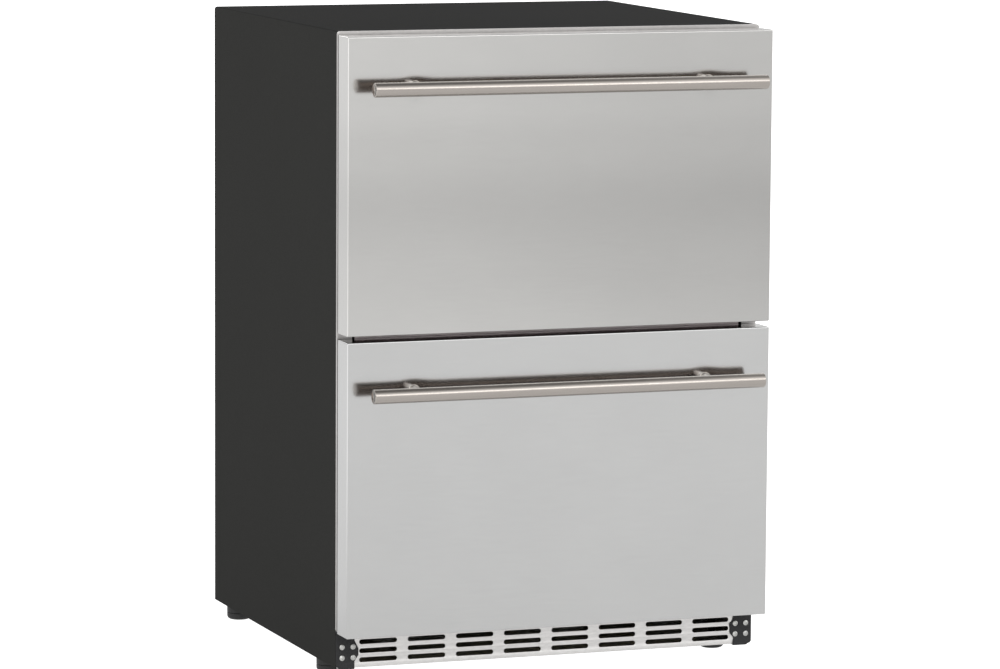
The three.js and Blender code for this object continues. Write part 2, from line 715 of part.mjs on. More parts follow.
// The foamed core with its moulded inner face, whose plug stands in the cabinet's opening.
function frontCore(drawer) {
  const [z0, z1] = drawer.front;
  const [low, high] = drawer.opening;
  const inset = FRONT.sheet + GAP;
  const half = FRONT.width / 2;
  const neck = FRONT.returnFlange + GAP;
  const plugHalf = FRAME.openingHalfWidth - PLUG.clearance;
  const plug = roundedRectangle(
    -plugHalf,
    plugHalf,
    low + PLUG.clearance,
    high - PLUG.clearance,
    PLUG.cornerRadius,
  );
  const back = FRONT_BACK_Y;
  return joined(
    box(inset - half, half - inset, FRONT_FACE_Y + inset, back - inset, z0 + inset, z1 - inset),
    box(neck - half, half - neck, back - inset - 1, back, z0 + neck, z1 - neck),
    prismY(plug, back - 1, back + PLUG.proud),
  );
}

function gasket([z0, z1]) {
  const { inset, width, thickness, outerRadius, innerRadius } = GASKET;
  const half = FRONT.width / 2 - inset;
  const y0 = FRONT_BACK_Y + GAP;
  const y1 = FRONT_BACK_Y + thickness - GAP;
  const inner = half - width;
  return cut(
    prismY(roundedRectangle(-half, half, z0 + inset, z1 - inset, outerRadius), y0, y1),
    prismY(
      roundedRectangle(-inner, inner, z0 + inset + width, z1 - inset - width, innerRadius),
      y0 - 1,
      y1 + 1,
    ),
  );
}

// An open-topped tray with an outward lip. The lower one steps up over the machine compartment.
function tub(drawer) {
  const [z0, z1] = drawer.tub;
  const front = FRONT_BACK_Y + PLUG.proud + GAP;
  const { back, wall, halfWidth, lip } = TUB;
  const { step } = drawer;
  const side = (inset, top) => {
    const rear = back - inset;
    const floor = z0 + inset;
    const start = [front + inset, floor];
    const heel = step
      ? [[step.y - inset, floor], [step.y - inset, step.z + inset], [rear, step.z + inset]]
      : [[rear, floor]];
    return outline([start, ...heel, [rear, top], [front + inset, top]]);
  };
  const rim = box(-halfWidth - lip, halfWidth + lip, front, back + lip, z1 - wall, z1);
  return cut(
    joined(prismX(side(0, z1), -halfWidth, halfWidth), rim),
    prismX(side(wall, z1 + 1), wall - halfWidth, halfWidth - wall),
  );
}

function handleBar() {
  const { length, radius, edge } = HANDLE;
  const half = length / 2;
  return turned(
    [
      [0, -half],
      [radius - edge, -half],
      [radius, edge - half],
      [radius, half - edge],
      [radius - edge, half],
      [0, half],
    ],
    "x",
    28,
  );
}

// A round post from the drawer front to the bar, with an end shaped to the bar.
function handlePost() {
  const { radius, reach } = HANDLE;
  const saddle = cylinder(radius + GAP, -2 * radius, 2 * radius, "x", 28).translate(0, -reach, 0);
  return cut(cylinder(POST_RADIUS, -reach, -GAP, "y"), saddle);
}

function addDrawer(drawer) {
  const group = new THREE.Group();
  group.name = `${drawer.name}_drawer`;
  appliance.add(group);
  const part = (word, geometry, finish) => add(group, `${drawer.name}_${word}`, geometry, finish);
  part("front_skin", frontSkin(drawer.front), MATERIALS.stainless);
  part("front_core", frontCore(drawer), MATERIALS.liner);
  part("gasket", gasket(drawer.front), MATERIALS.gasket);
  part("tub", tub(drawer), MATERIALS.stainless);
  const handleZ = drawer.front[1] - HANDLE.below;
  part("handle_bar", handleBar(), MATERIALS.handleSteel).position.set(0, HANDLE_Y, handleZ);
  for (const [word, side] of [["left", -1], ["right", 1]]) {
    const post = part(`handle_post_${word}`, handlePost(), MATERIALS.handleSteel);
    post.position.set((side * HANDLE.postSpacing) / 2, FRONT_FACE_Y, handleZ);
  }
  addRails(group, drawer, "inner", "inner");
}

for (const drawer of [UPPER, LOWER]) {
  addDrawer(drawer);
  addRails(appliance, drawer, "fixed", "fixed");
  addRails(appliance, drawer, "middle", "middle");
}

export default fridge;
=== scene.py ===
"""The looks of a two-drawer under-counter refrigerator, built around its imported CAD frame.

Everything is in metres in the row frame: +Z up, the drawers open towards -Y, z = 0 at the floor.
"""
from math import ceil, cos, exp, hypot, pi, radians, sin, sqrt, tan

import bmesh
import bpy
from mathutils import Matrix, Vector


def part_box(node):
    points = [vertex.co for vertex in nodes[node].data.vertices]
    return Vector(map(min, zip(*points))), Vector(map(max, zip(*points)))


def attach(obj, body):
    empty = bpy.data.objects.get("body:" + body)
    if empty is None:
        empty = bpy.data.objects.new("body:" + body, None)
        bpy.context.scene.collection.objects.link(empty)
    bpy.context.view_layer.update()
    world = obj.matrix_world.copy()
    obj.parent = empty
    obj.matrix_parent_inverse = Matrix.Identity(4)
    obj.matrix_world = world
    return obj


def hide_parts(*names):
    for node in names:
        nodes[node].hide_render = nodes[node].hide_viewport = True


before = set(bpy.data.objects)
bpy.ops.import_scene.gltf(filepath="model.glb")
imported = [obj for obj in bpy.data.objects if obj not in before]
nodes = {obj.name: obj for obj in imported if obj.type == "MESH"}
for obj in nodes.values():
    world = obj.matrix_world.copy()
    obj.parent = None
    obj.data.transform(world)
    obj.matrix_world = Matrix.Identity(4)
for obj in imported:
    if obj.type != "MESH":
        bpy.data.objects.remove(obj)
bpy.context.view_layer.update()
MM = 0.001
DRAWERS = ("upper", "lower")
HANDS = (("left", -1), ("right", 1))


def new_object(name, data):
    """A new object in the scene."""
    obj = bpy.data.objects.new(name, data)
    bpy.context.scene.collection.objects.link(obj)
    return obj


# -------- camera
CAMERA_PLACE = Vector((-2.3626, -6.4683, 1.2950))
CAMERA_YAW, CAMERA_PITCH, CAMERA_ROLL = (radians(a) for a in (20.1741, -7.1825, 0.3686))
CAMERA_LENS = 181.92


def make_camera():
    """The camera looks along +Y turned by the yaw to the right and tilted by the pitch."""
    data = bpy.data.cameras.new("camera")
    data.sensor_width = 36
    data.lens = CAMERA_LENS
    data.clip_start, data.clip_end = 0.1, 200
    camera = new_object("camera", data)
    turn = Matrix.Rotation(-CAMERA_YAW, 4, "Z") @ Matrix.Rotation(pi / 2 + CAMERA_PITCH, 4, "X")
    camera.matrix_world = Matrix.Translation(CAMERA_PLACE) @ turn @ Matrix.Rotation(CAMERA_ROLL, 4, "Z")
    bpy.context.scene.camera = camera


# -------- shader nodes
def rgba(colour):
    """A colour, or a grey given as one number, with full alpha."""
    return (*colour, 1) if isinstance(colour, tuple) else (colour, colour, colour, 1)


def scaled(colour, factor):
    return tuple(min(1.0, c * factor) for c in colour)


class Graph:
    """The node tree of a material or a world, with short calls for its nodes."""

    def __init__(self, owner, coordinates="Object"):
        owner.use_nodes = True
        self.tree = owner.node_tree
        self.tree.nodes.clear()
        self.place = self.node("TexCoord").outputs[coordinates]

    def node(self, kind, inputs=None, **settings):
        """A node with some of its settings. Its inputs are linked or given values."""
        node = self.tree.nodes.new("ShaderNode" + kind)
        for name, value in settings.items():
            setattr(node, name, value)
        for socket, value in (inputs or {}).items():
            if isinstance(value, bpy.types.NodeSocket):
                self.tree.links.new(value, node.inputs[socket])
            else:
                node.inputs[socket].default_value = value
        return node

    def stretched(self, scale):
        """The coordinates in metres, multiplied by a scale for each axis."""
        return self.node("Mapping", {"Vector": self.place, "Scale": scale}).outputs["Vector"]

    def noise(self, scale, detail=2.0, roughness=0.5):
        """Noise with a number of features in each metre, the same way round or by axis."""
        by_axis = scale if isinstance(scale, tuple) else (scale, scale, scale)
        inputs = {"Vector": self.stretched(by_axis), "Scale": 1.0, "Detail": detail, "Roughness": roughness}
        return self.node("TexNoise", inputs).outputs["Fac"]

    def cells(self, scale):
        """Voronoi cells, with a number of them in each metre."""
        return self.node("TexVoronoi", {"Vector": self.stretched((scale, scale, scale)), "Scale": 1.0})

    def ranged(self, value, low, high, start=0.25, end=0.75, **settings):
        """A factor mapped from start..end to low..high."""
        inputs = {"Value": value, "From Min": start, "From Max": end, "To Min": low, "To Max": high}
        return self.node("MapRange", inputs, **settings).outputs["Result"]

    def along(self, letter, start, end, most=1.0, **settings):
        """How far along an axis, from 0 at the start to the most at the end."""
        parts = self.node("SeparateXYZ", {0: self.place})
        return self.ranged(parts.outputs[letter], 0.0, most, start, end, **settings)

    def ramp(self, value, stops, interpolation="EASE"):
        """A factor turned into colours. The stops are (position, colour or grey)."""
        node = self.node("ValToRGB", {"Fac": value})
        node.color_ramp.interpolation = interpolation
        elements = node.color_ramp.elements
        while len(elements) < len(stops):
            elements.new(0.5)
        for element, (position, colour) in zip(elements, stops):
            element.position = position
            element.color = rgba(colour)
        return node.outputs["Color"]

    def varied(self, value, colour, less, more):
        """A colour that noise makes darker and lighter by shares of itself."""
        return self.ramp(value, [(0.3, scaled(colour, 1 - less)), (0.7, scaled(colour, 1 + more))])

    def mixed(self, factor, a, b, blend="MIX"):
        """Two colours mixed by a factor."""
        a, b = (rgba(value) if isinstance(value, tuple) else value for value in (a, b))
        return self.node("Mix", {0: factor, 6: a, 7: b}, data_type="RGBA", blend_type=blend).outputs[2]

    def times(self, a, b):
        return self.mixed(1.0, a, b, "MULTIPLY")

    def maths(self, operation, *values):
        return self.node("Math", dict(enumerate(values)), operation=operation).outputs[0]


class Finish(Graph):
    """A material on the Principled shader."""

    def __init__(self, name, metallic=0.0, coat=0.0):
        self.material = bpy.data.materials.new(name)
        super().__init__(self.material)
        values = {"Metallic": metallic, "IOR": 1.5, "Coat Weight": coat, "Coat Roughness": 0.2}
        self.shader = self.node("BsdfPrincipled", values)
        self.node("OutputMaterial", {"Surface": self.shader.outputs["BSDF"]})

    def bump(self, height, distance):
        """A bump whose full height is the distance, in metres."""
        node = self.node("Bump", {"Distance": distance, "Strength": 1.0, "Height": height})
        self.tree.links.new(node.outputs["Normal"], self.shader.inputs["Normal"])

    def done(self, colour, roughness):
        self.tree.links.new(colour, self.shader.inputs["Base Color"])
        if isinstance(roughness, float):
            self.shader.inputs["Roughness"].default_value = roughness
        else:
            self.tree.links.new(roughness, self.shader.inputs["Roughness"])
        return self.material


# -------- materials
STEEL = (0.498, 0.498, 0.495)
# Painted light: the upper front's steel is a lighter copy of the same steel, for the brighter light that it
# reflects.
UPPER_STEEL_PAINTED_LIGHTER = (0.562, 0.556, 0.543)
WARM_STEEL = (0.370, 0.342, 0.316)
BRUSH_DEPTH = 0.001 * MM


def brushed_steel(name, colour, grain, roughness=0.15, cloud=0.02, tone=None, line=0.015, depth=BRUSH_DEPTH):
    """Brushed stainless sheet. The grain is the features in each metre along x, y and z."""
    f = Finish(name, metallic=1.0)
    fine = f.noise(grain, detail=3)
    clouds = f.noise(9.0, detail=3)
    smudge = f.noise(38.0, detail=4, roughness=0.6)
    base = f.varied(fine, colour, line, line)
    base = f.times(base, f.ramp(clouds, [(0.3, 1 - cloud), (0.7, 1.0)]))
    # A tone paints light and shade into the colour: a painted reflection gradient on the upper front, a
    # painted shade band on the mullion.
    if tone is not None:
        base = f.times(base, tone(f))
    f.bump(fine, depth)
    lines = f.ranged(fine, roughness * 0.92, roughness * 1.08)
    return f.done(base, f.maths("ADD", lines, f.ranged(smudge, -0.012, 0.015)))


# How light the upper front's steel is painted at shares of its height, and of its width: painted light and
# shade, a reflection gradient painted into its colour.
PAINTED_LIGHT_UP = [(0.0, 0.90), (0.20, 0.855), (0.42, 0.81), (0.63, 0.90), (0.77, 0.97), (1.0, 1.0)]
PAINTED_LIGHT_ACROSS = [(0.0, 1.0), (1.0, 0.87)]


def upper_front_painted_light(f):
    """Painted light and shade on the upper drawer front, up it and across it: a reflection gradient painted
    into its colour.
    """
    low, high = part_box("upper_front_skin")
    up = f.ramp(f.along("Z", low.z, high.z), PAINTED_LIGHT_UP)
    return f.times(up, f.ramp(f.along("X", low.x, high.x), PAINTED_LIGHT_ACROSS))


# The heights between which the mullion's face passes into a band of painted shade above it, the shade under
# the upper drawer front.
SHADE_BAND_EDGE = (460.5 * MM, 463.0 * MM)


def mullion_painted_shade(f):
    """A mauve-grey face under a dark band of painted shade, where the upper front shades it."""
    stops = [(0.0, 1.0), (0.35, 0.9), (0.65, (0.06, 0.045, 0.05)), (1.0, (0.05, 0.04, 0.04))]
    return f.ramp(f.along("Z", *SHADE_BAND_EDGE), stops)


# The back of a bar is painted darker: painted shade, which also darkens the bar's reflection in the drawer
# front. The stops run from its axis to the drawer front.
BAR_BACK_PAINTED_SHADE = [(0.03, 1.0), (0.16, (0.42, 0.36, 0.33)), (0.55, (0.5, 0.44, 0.4)), (0.8, 1.0)]
BAR_BACK_SHADE_REACH = 38 * MM


def satin_handle_steel():
    f = Finish("handle_steel", metallic=1.0)
    lines = f.noise((20, 1600, 1600), detail=2)
    clouds = f.noise(24, detail=3)
    base = f.varied(lines, WARM_STEEL, 0.03, 0.03)
    base = f.mixed(f.ranged(clouds, 0.0, 0.12), base, scaled(WARM_STEEL, 0.86))
    low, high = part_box("upper_handle_bar")
    middle = (low.y + high.y) / 2
    # Painted shade: the back of the bar, towards the drawer front, is darker.
    base = f.times(base, f.ramp(f.along("Y", middle, middle + BAR_BACK_SHADE_REACH), BAR_BACK_PAINTED_SHADE))
    f.bump(lines, BRUSH_DEPTH)
    return f.done(base, f.ranged(lines, 0.21, 0.27))


# The paint is painted darker on the cabinet's top: painted shade against the light from above. It changes
# over these distances below the top.
TOP_PAINTED_SHADE = {"from": 1.5 * MM, "to": 0.2 * MM, "share": 0.42}


def powder_coat(name, colour, roughness=0.66, peel=620, depth=0.03 * MM, speckle=0.1):
    """Powder coat: a fine orange peel, a faint speckle and slow tone changes, and painted shade on the
    cabinet's top.
    """
    f = Finish(name)
    f.shader.inputs["Specular IOR Level"].default_value = 0.012
    skin = f.noise(peel, detail=2)
    grains = f.noise(2600, detail=1)
    clouds = f.noise(5, detail=3)
    base = f.varied(grains, colour, speckle, speckle)
    base = f.mixed(f.ranged(clouds, 0.0, 0.1), base, scaled(colour, 1.35))
    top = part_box("cabinet_wrapper")[1].z
    # Painted shade: the top face is darker than the sides.
    top_shade = f.along("Z", top - TOP_PAINTED_SHADE["from"], top - TOP_PAINTED_SHADE["to"])
    base = f.mixed(top_shade, base, scaled(colour, TOP_PAINTED_SHADE["share"]))
    f.bump(skin, depth)
    return f.done(base, f.ranged(skin, roughness - 0.05, roughness + 0.06))


def galvanised_sheet():
    f = Finish("galvanised", metallic=1.0)
    spangle = f.cells(70)
    tone = f.ramp(f.noise(30, detail=3), [(0.3, (0.34, 0.35, 0.36)), (0.7, (0.44, 0.45, 0.46))])
    shard = f.node("SeparateColor", {0: spangle.outputs["Color"]})
    base = f.mixed(f.ranged(shard.outputs[0], 0.0, 0.5, 0, 1), tone, (0.50, 0.51, 0.52))
    f.bump(shard.outputs[1], 0.02 * MM)
    return f.done(base, f.ranged(shard.outputs[2], 0.36, 0.52, 0, 1))


def moulded_plastic(name, colour, roughness=0.45, grain=1500, depth=0.03 * MM):
    """Moulded plastic with a fine spark-eroded grain and faint flow clouds."""
    f = Finish(name)
    fine = f.noise(grain, detail=2)
    clouds = f.noise(14, detail=3)
    f.bump(fine, depth)
    rough = f.ranged(fine, roughness - 0.06, roughness + 0.08)
    return f.done(f.varied(clouds, colour, 0.05, 0.04), rough)


def plated_zinc():
    f = Finish("zinc", metallic=1.0)
    clouds = f.noise(60, detail=3)
    f.bump(f.noise(1800, detail=2), 0.01 * MM)
    base = f.ramp(clouds, [(0.3, (0.42, 0.42, 0.41)), (0.7, (0.56, 0.56, 0.54))])
    return f.done(base, f.ranged(clouds, 0.24, 0.4))


def rolled_aluminium():
    f = Finish("aluminium", metallic=1.0)
    lines = f.noise((40, 40, 1200), detail=3)
    f.bump(lines, 0.01 * MM)
    base = f.ramp(lines, [(0.3, (0.66, 0.67, 0.68)), (0.7, (0.76, 0.77, 0.78))])
    return f.done(base, f.ranged(lines, 0.3, 0.45))


def rigid_foam():
    """Pale yellow foam, with its front edge painted near-black: painted shade where it is seen in the gap of
    the fronts.
    """
    f = Finish("foam")
    pores = f.cells(420)
    base = f.ramp(f.noise(40, detail=4), [(0.3, (0.66, 0.55, 0.30)), (0.7, (0.80, 0.72, 0.45))])
    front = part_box("foam_core")[0].y
    # Painted shade: the foam's front edge is near-black, where the gap between the fronts is in shade.
    base = f.mixed(f.along("Y", front + 4 * MM, front + 6 * MM), (0.004, 0.004, 0.004), base)
    f.bump(pores.outputs["Distance"], 0.6 * MM)
    return f.done(base, 0.9)


def enamelled_can():
    f = Finish("compressor_black", coat=0.5)
    clouds = f.noise(45, detail=4)
    f.bump(f.noise(420, detail=2), 0.05 * MM)
    base = f.ramp(clouds, [(0.35, (0.012, 0.012, 0.013)), (0.75, (0.030, 0.029, 0.028))])
    return f.done(base, f.ranged(clouds, 0.3, 0.42))


def gasket_rubber():
    f = Finish("gasket_rubber")
    fine = f.noise(1200, detail=2)
    f.bump(fine, 0.02 * MM)
    base = f.ramp(f.noise(30, detail=3), [(0.3, (0.062, 0.061, 0.060)), (0.7, (0.085, 0.083, 0.080))])
    return f.done(base, f.ranged(fine, 0.55, 0.7))


def make_materials():
    """The looks by name: one for each slot, and a few of their own."""
    grain = (30, 1400, 1400)
    cast = (220, 220, 220)
    white = (0.80, 0.81, 0.81)
    core_white = (0.78, 0.79, 0.79)
    return {
        "black_paint": powder_coat("black_paint", (0.026, 0.026, 0.0248)),
        "galvanised": galvanised_sheet(),
        "foam": rigid_foam(),
        "liner_white": moulded_plastic("liner_white", white, 0.32, 700, 0.04 * MM),
        "liner_white_core": moulded_plastic("liner_white_core", core_white, 0.35, 700, 0.04 * MM),
        "frame_steel": brushed_steel("frame_steel", (0.50, 0.485, 0.475), cast, 0.38, 0.1, line=0.04),
        "stainless": brushed_steel("stainless", STEEL, grain),
        "upper_front": brushed_steel("stainless_upper_front_painted_light", UPPER_STEEL_PAINTED_LIGHTER, grain, tone=upper_front_painted_light),
        "grille": brushed_steel(
            "stainless_grille", (0.61, 0.60, 0.59), (160, 500, 500), 0.34, 0.05, line=0.05, depth=0.004 * MM
        ),
        "tub": brushed_steel("stainless_tub", (0.60, 0.60, 0.60), (900, 14, 900), 0.28, line=0.03),
        "mullion": brushed_steel(
            "mullion_steel", (0.60, 0.53, 0.535), cast, 0.4, 0.1, tone=mullion_painted_shade, line=0.04
        ),
        "handle_steel": satin_handle_steel(),
        "bracket_black": powder_coat("bracket_black", (0.034, 0.034, 0.035), 0.42, 260, 0.12 * MM, 0.35),
        "zinc": plated_zinc(),
        "compressor_black": enamelled_can(),
        "aluminium": rolled_aluminium(),
        "black_plastic": moulded_plastic("black_plastic", (0.012, 0.012, 0.0125), 0.45),
        "button_grey": moulded_plastic("button_grey", (0.16, 0.165, 0.17), 0.4),
        "foot_plastic": moulded_plastic("foot_plastic", (0.010, 0.010, 0.010), 0.5, 500, 0.05 * MM),
        "gasket_rubber": gasket_rubber(),
    }


LOOKS = make_materials()


# -------- mesh helpers
def piece(name, mesh, body, slot, *replaced, look=None):
    """A new piece that rides on a body and stands for CAD nodes."""
    mesh.materials.clear()
    mesh.materials.append(LOOKS[look or slot])
    obj = new_object(name, mesh)
    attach(obj, body)
    if replaced:
        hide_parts(*replaced)
    return obj


def mesh_from(bm, name, smooth=True):
    """A mesh with its faces turned outwards."""
    bmesh.ops.recalc_face_normals(bm, faces=bm.faces)
    return plain_mesh(bm, name, smooth)


def plain_mesh(bm, name, smooth=True):
    for face in bm.faces:
        face.smooth = smooth
    mesh = bpy.data.meshes.new(name)
    bm.to_mesh(mesh)
    bm.free()
    return mesh


def evaluated_mesh(obj):
    """The mesh that a curve or an object with modifiers comes to."""
    graph = bpy.context.evaluated_depsgraph_get()
    return bpy.data.meshes.new_from_object(obj.evaluated_get(graph))


def sharpen(obj, degrees):
    """Edges that turn more than the angle are shaded sharp, and the others smooth."""
    bm = bmesh.new()
    bm.from_mesh(obj.data)
    limit = radians(degrees)
    for edge in bm.edges:
        edge.smooth = len(edge.link_faces) != 2 or edge.calc_face_angle() < limit
    bm.to_mesh(obj.data)
    bm.free()


def add_bevel(obj, width, segments=3, angle=35):
    bevel = obj.modifiers.new("edges", "BEVEL")
    bevel.width = width
    bevel.segments = segments
    bevel.limit_method = "ANGLE"
    bevel.angle_limit = radians(angle)
    bevel.use_clamp_overlap = True
    bevel.harden_normals = True
    return bevel


def refine(name, look, edge):
    """A CAD node that keeps its shape: joined facets, small rounded edges and a new material."""
    obj = nodes[name]
    mesh = obj.data
    custom = mesh.attributes.get("custom_normal")
    if custom is not None:
        mesh.attributes.remove(custom)
    for polygon in mesh.polygons:
        polygon.use_smooth = True
    for flag in mesh.edges:
        flag.use_edge_sharp = False
    weld = obj.modifiers.new("weld", "WELD")
    weld.merge_threshold = 0.01 * MM
    planes = obj.modifiers.new("planes", "DECIMATE")
    planes.decimate_type = "DISSOLVE"
    planes.angle_limit = radians(1)
    add_bevel(obj, edge)
    mesh.materials.clear()
    mesh.materials.append(LOOKS[look])


def turned(profile, axis, centre, steps=64):
    """A closed turned mesh. The profile is (radius, distance along the axis) from end to end."""
    bm = bmesh.new()
    along = {"X": Vector((1, 0, 0)), "Y": Vector((0, 1, 0)), "Z": Vector((0, 0, 1))}[axis]
    side = Vector((0, 0, 1)) if axis != "Z" else Vector((1, 0, 0))
    other = along.cross(side)
    angles = [2 * pi * i / steps for i in range(steps)]
    spokes = [side * cos(t) + other * sin(t) for t in angles]
    rings = []
    for radius, distance in profile:
        middle = Vector(centre) + along * distance
        if radius < 1e-7:
            rings.append([bm.verts.new(middle)])
        else:
            rings.append([bm.verts.new(middle + spoke * radius) for spoke in spokes])
    for a, b in zip(rings, rings[1:]):
        for i in range(steps if len(a) + len(b) > 2 else 0):
            j = (i + 1) % steps
            corners = (a[i % len(a)], b[i % len(b)], b[j % len(b)], a[j % len(a)])
            bm.faces.new(dict.fromkeys(corners))
    return bm


def arc(centre, radius, start, end, steps):
    """Points of an arc in a plane, with angles in degrees."""
    angles = [radians(start + (end - start) * i / steps) for i in range(steps + 1)]
    return [(centre[0] + radius * cos(a), centre[1] + radius * sin(a)) for a in angles]


def quarter(steps):
    """Angles from 0 to a right angle, in radians."""
    return [pi / 2 * i / steps for i in range(steps + 1)]


def fill_grid(bm, rows):
    """Quads between rows of vertices."""
    for row, above in zip(rows, rows[1:]):
        for i in range(len(row) - 1):
            bm.faces.new((row[i], row[i + 1], above[i + 1], above[i]))


def grid_border(rows):
    """The vertices round the edge of a grid, in order."""
    return rows[0] + [r[-1] for r in rows[1:]] + rows[-1][-2::-1] + [r[0] for r in rows[-2:0:-1]]


# -------- handles
BAR = {"edge": 0.9 * MM, "rim": 3.4 * MM, "recess": 0.5 * MM}
POST = {"foot_radius": 8.6 * MM, "flare": 6 * MM, "into_bar": 5 * MM}


def make_handle(drawer):
    """A round bar with rounded ends, each with a shallow recess, and its two posts."""
    node = f"{drawer}_handle_bar"
    low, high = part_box(node)
    centre = (low + high) / 2
    half = (high.x - low.x) / 2
    radius = (high.z - low.z) / 2
    edge, recess = BAR["edge"], BAR["recess"]
    hollow = radius - BAR["rim"]
    end = [(0, half - recess), (hollow, half - recess), (hollow + recess, half)]
    end += [(r, x) for x, r in arc((half - edge, radius - edge), edge, 0, 90, 5)]
    profile = [(r, -x) for r, x in end] + end[::-1]
    mesh = mesh_from(turned(profile, "X", centre, 96), f"{drawer}_bar")
    obj = piece(f"{drawer}_bar", mesh, f"{drawer}_drawer", "handle_steel", node)
    sharpen(obj, 50)
    for hand, _ in HANDS:
        make_post(drawer, hand, centre)


def make_post(drawer, hand, bar_centre):
    """A round post that ends inside the bar. It flares out where it stands on the front."""
    node = f"{drawer}_handle_post_{hand}"
    low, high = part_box(node)
    centre = Vector(((low.x + high.x) / 2, high.y, (low.z + high.z) / 2))
    radius = (high.x - low.x) / 2
    start = bar_centre.y + POST["into_bar"] - high.y
    sunk = dimple_depth(radius)
    wide, flare = POST["foot_radius"] - radius, POST["flare"]
    foot = [(radius + wide * (1 - cos(t)), sunk - flare * (1 - sin(t))) for t in quarter(10)]
    profile = [(0, start), (radius, start), *foot, (0, sunk)]
    mesh = mesh_from(turned(profile, "Y", centre, 64), f"{drawer}_post_{hand}")
    obj = piece(f"{drawer}_post_{hand}", mesh, f"{drawer}_drawer", "handle_steel", node)
    sharpen(obj, 60)


# -------- drawer fronts
FRONT = {"bend": 1.6 * MM, "flange": 10 * MM, "sheet": 1.0 * MM}
DIMPLE = {"depth": 0.62 * MM, "radius": 17 * MM, "zone": 46 * MM}
FACE_GRID = {"fine": 2 * MM, "coarse": 50 * MM}


def dimple_depth(distance):
    """How far the sheet is drawn in at a distance from a post's bolt."""
    return DIMPLE["depth"] * exp(-((distance / DIMPLE["radius"]) ** 2))


def grid_lines(low, high, spots):
    """Coordinates from low to high, close together round the spots and wide apart elsewhere."""
    reach, fine = DIMPLE["zone"], FACE_GRID["fine"]
    values = {low, high}
    count = ceil((high - low) / FACE_GRID["coarse"])
    values.update(low + (high - low) * i / count for i in range(1, count))
    values = {v for v in values if all(abs(v - s) > reach for s in spots) or v in (low, high)}
    half = round(reach / fine)
    values.update(s + i * fine for s in spots for i in range(-half, half + 1))
    return sorted(v for v in values if low <= v <= high)


def make_front_skin(drawer, look):
    """Folded sheet: a face with slight dimples where the posts are bolted, four returns and a flange."""
    node = f"{drawer}_front_skin"
    low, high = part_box(node)
    posts = [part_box(f"{drawer}_handle_post_{hand}") for hand, _ in HANDS]
    spots = [(a + b) / 2 for a, b in posts]
    xs = grid_lines(low.x, high.x, [s.x for s in spots])
    zs = grid_lines(low.z, high.z, [spots[0].z])
    bm = bmesh.new()

    def dent(x, z):
        near = min(hypot(x - s.x, z - s.z) for s in spots)
        return dimple_depth(near) if near < DIMPLE["zone"] else 0

    face = [[bm.verts.new((x, low.y + dent(x, z), z)) for x in xs] for z in zs]
    fill_grid(bm, face)
    border = grid_border(face)

    # At each border vertex, which way is inwards: 1, -1 or 0 along x and along z.
    def inwards(value, start, end):
        return 1 if abs(value - start) < 1e-6 else -1 if abs(value - end) < 1e-6 else 0

    signs = [(inwards(v.co.x, low.x, high.x), inwards(v.co.z, low.z, high.z)) for v in border]

    def back_ring(inset):
        places = zip(border, signs)
        return [bm.verts.new((v.co.x + inset * sx, high.y, v.co.z + inset * sz)) for v, (sx, sz) in places]

    back = back_ring(0)
    flange = back_ring(FRONT["flange"])
    count = len(border)
    folds = []
    for i in range(count):
        j = (i + 1) % count
        bm.faces.new((border[i], border[j], back[j], back[i]))
        bm.faces.new((back[i], back[j], flange[j], flange[i]))
        folds.append((border[i], border[j]))
        folds.append((back[i], back[j]))
        if all(signs[i]):
            folds.append((border[i], back[i]))
    weight = bm.edges.layers.float.new("bevel_weight_edge")
    for a, b in folds:
        # The fold to the flange is tighter than the others.
        at_back = a.co.y == b.co.y and a.co.y >= high.y - 1e-5
        bm.edges.get((a, b))[weight] = 0.5 if at_back else 1.0
    mesh = mesh_from(bm, f"{drawer}_skin")
    obj = piece(f"{drawer}_skin", mesh, f"{drawer}_drawer", "stainless", node, look=look)
    bevel = add_bevel(obj, FRONT["bend"], 5)
    bevel.limit_method = "WEIGHT"
    shell = obj.modifiers.new("sheet", "SOLIDIFY")
    shell.thickness = FRONT["sheet"]
    shell.offset = -1


# -------- lofted and cut pieces
def rounded_loop(x0, x1, z0, z1, radius, steps=6):
    """Points (x, z) round a rectangle with rounded corners."""
    radius = max(radius, 0.05 * MM)
    points = []
    for x, z, start in ((x1, z1, 0), (x0, z1, 90), (x0, z0, 180), (x1, z0, 270)):
        cx = x - radius if x == x1 else x + radius
        cz = z - radius if z == z1 else z + radius
        points += arc((cx, cz), radius, start, start + 90, steps)
    return points


def rounded_ring(rect, inset, y, radius):
    """Points round a rectangle (x0, x1, z0, z1), drawn in by the inset, at one y."""
    x0, x1, z0, z1 = rect
    loop = rounded_loop(x0 + inset, x1 - inset, z0 + inset, z1 - inset, radius)
    return [(x, y, z) for x, z in loop]


def circle(x, z, radius, steps=24):
    angles = [2 * pi * i / steps for i in range(steps)]
    return [(x + radius * cos(t), z + radius * sin(t)) for t in angles]


def slot_outline(x0, x1, z0, z1):
    """A slot whose ends are round."""
    return rounded_loop(x0, x1, z0, z1, min(x1 - x0, z1 - z0) / 2 * 0.98)


def spaced(count, pitch):
    """Positions at a pitch, centred on zero."""
    return [(i - (count - 1) / 2) * pitch for i in range(count)]


def loft(rings, closed=False):
    """Quads between rings of points. The ends are capped unless the last ring joins the first."""
    bm = bmesh.new()
    loops = [[bm.verts.new(point) for point in ring] for ring in rings]
    pairs = list(zip(loops, loops[1:])) + ([(loops[-1], loops[0])] if closed else [])
    for a, b in pairs:
        for i in range(len(a)):
            j = (i + 1) % len(a)
            bm.faces.new((a[i], a[j], b[j], b[i]))
    if not closed:
        bm.faces.new(loops[0][::-1])
        bm.faces.new(loops[-1])
    return bm


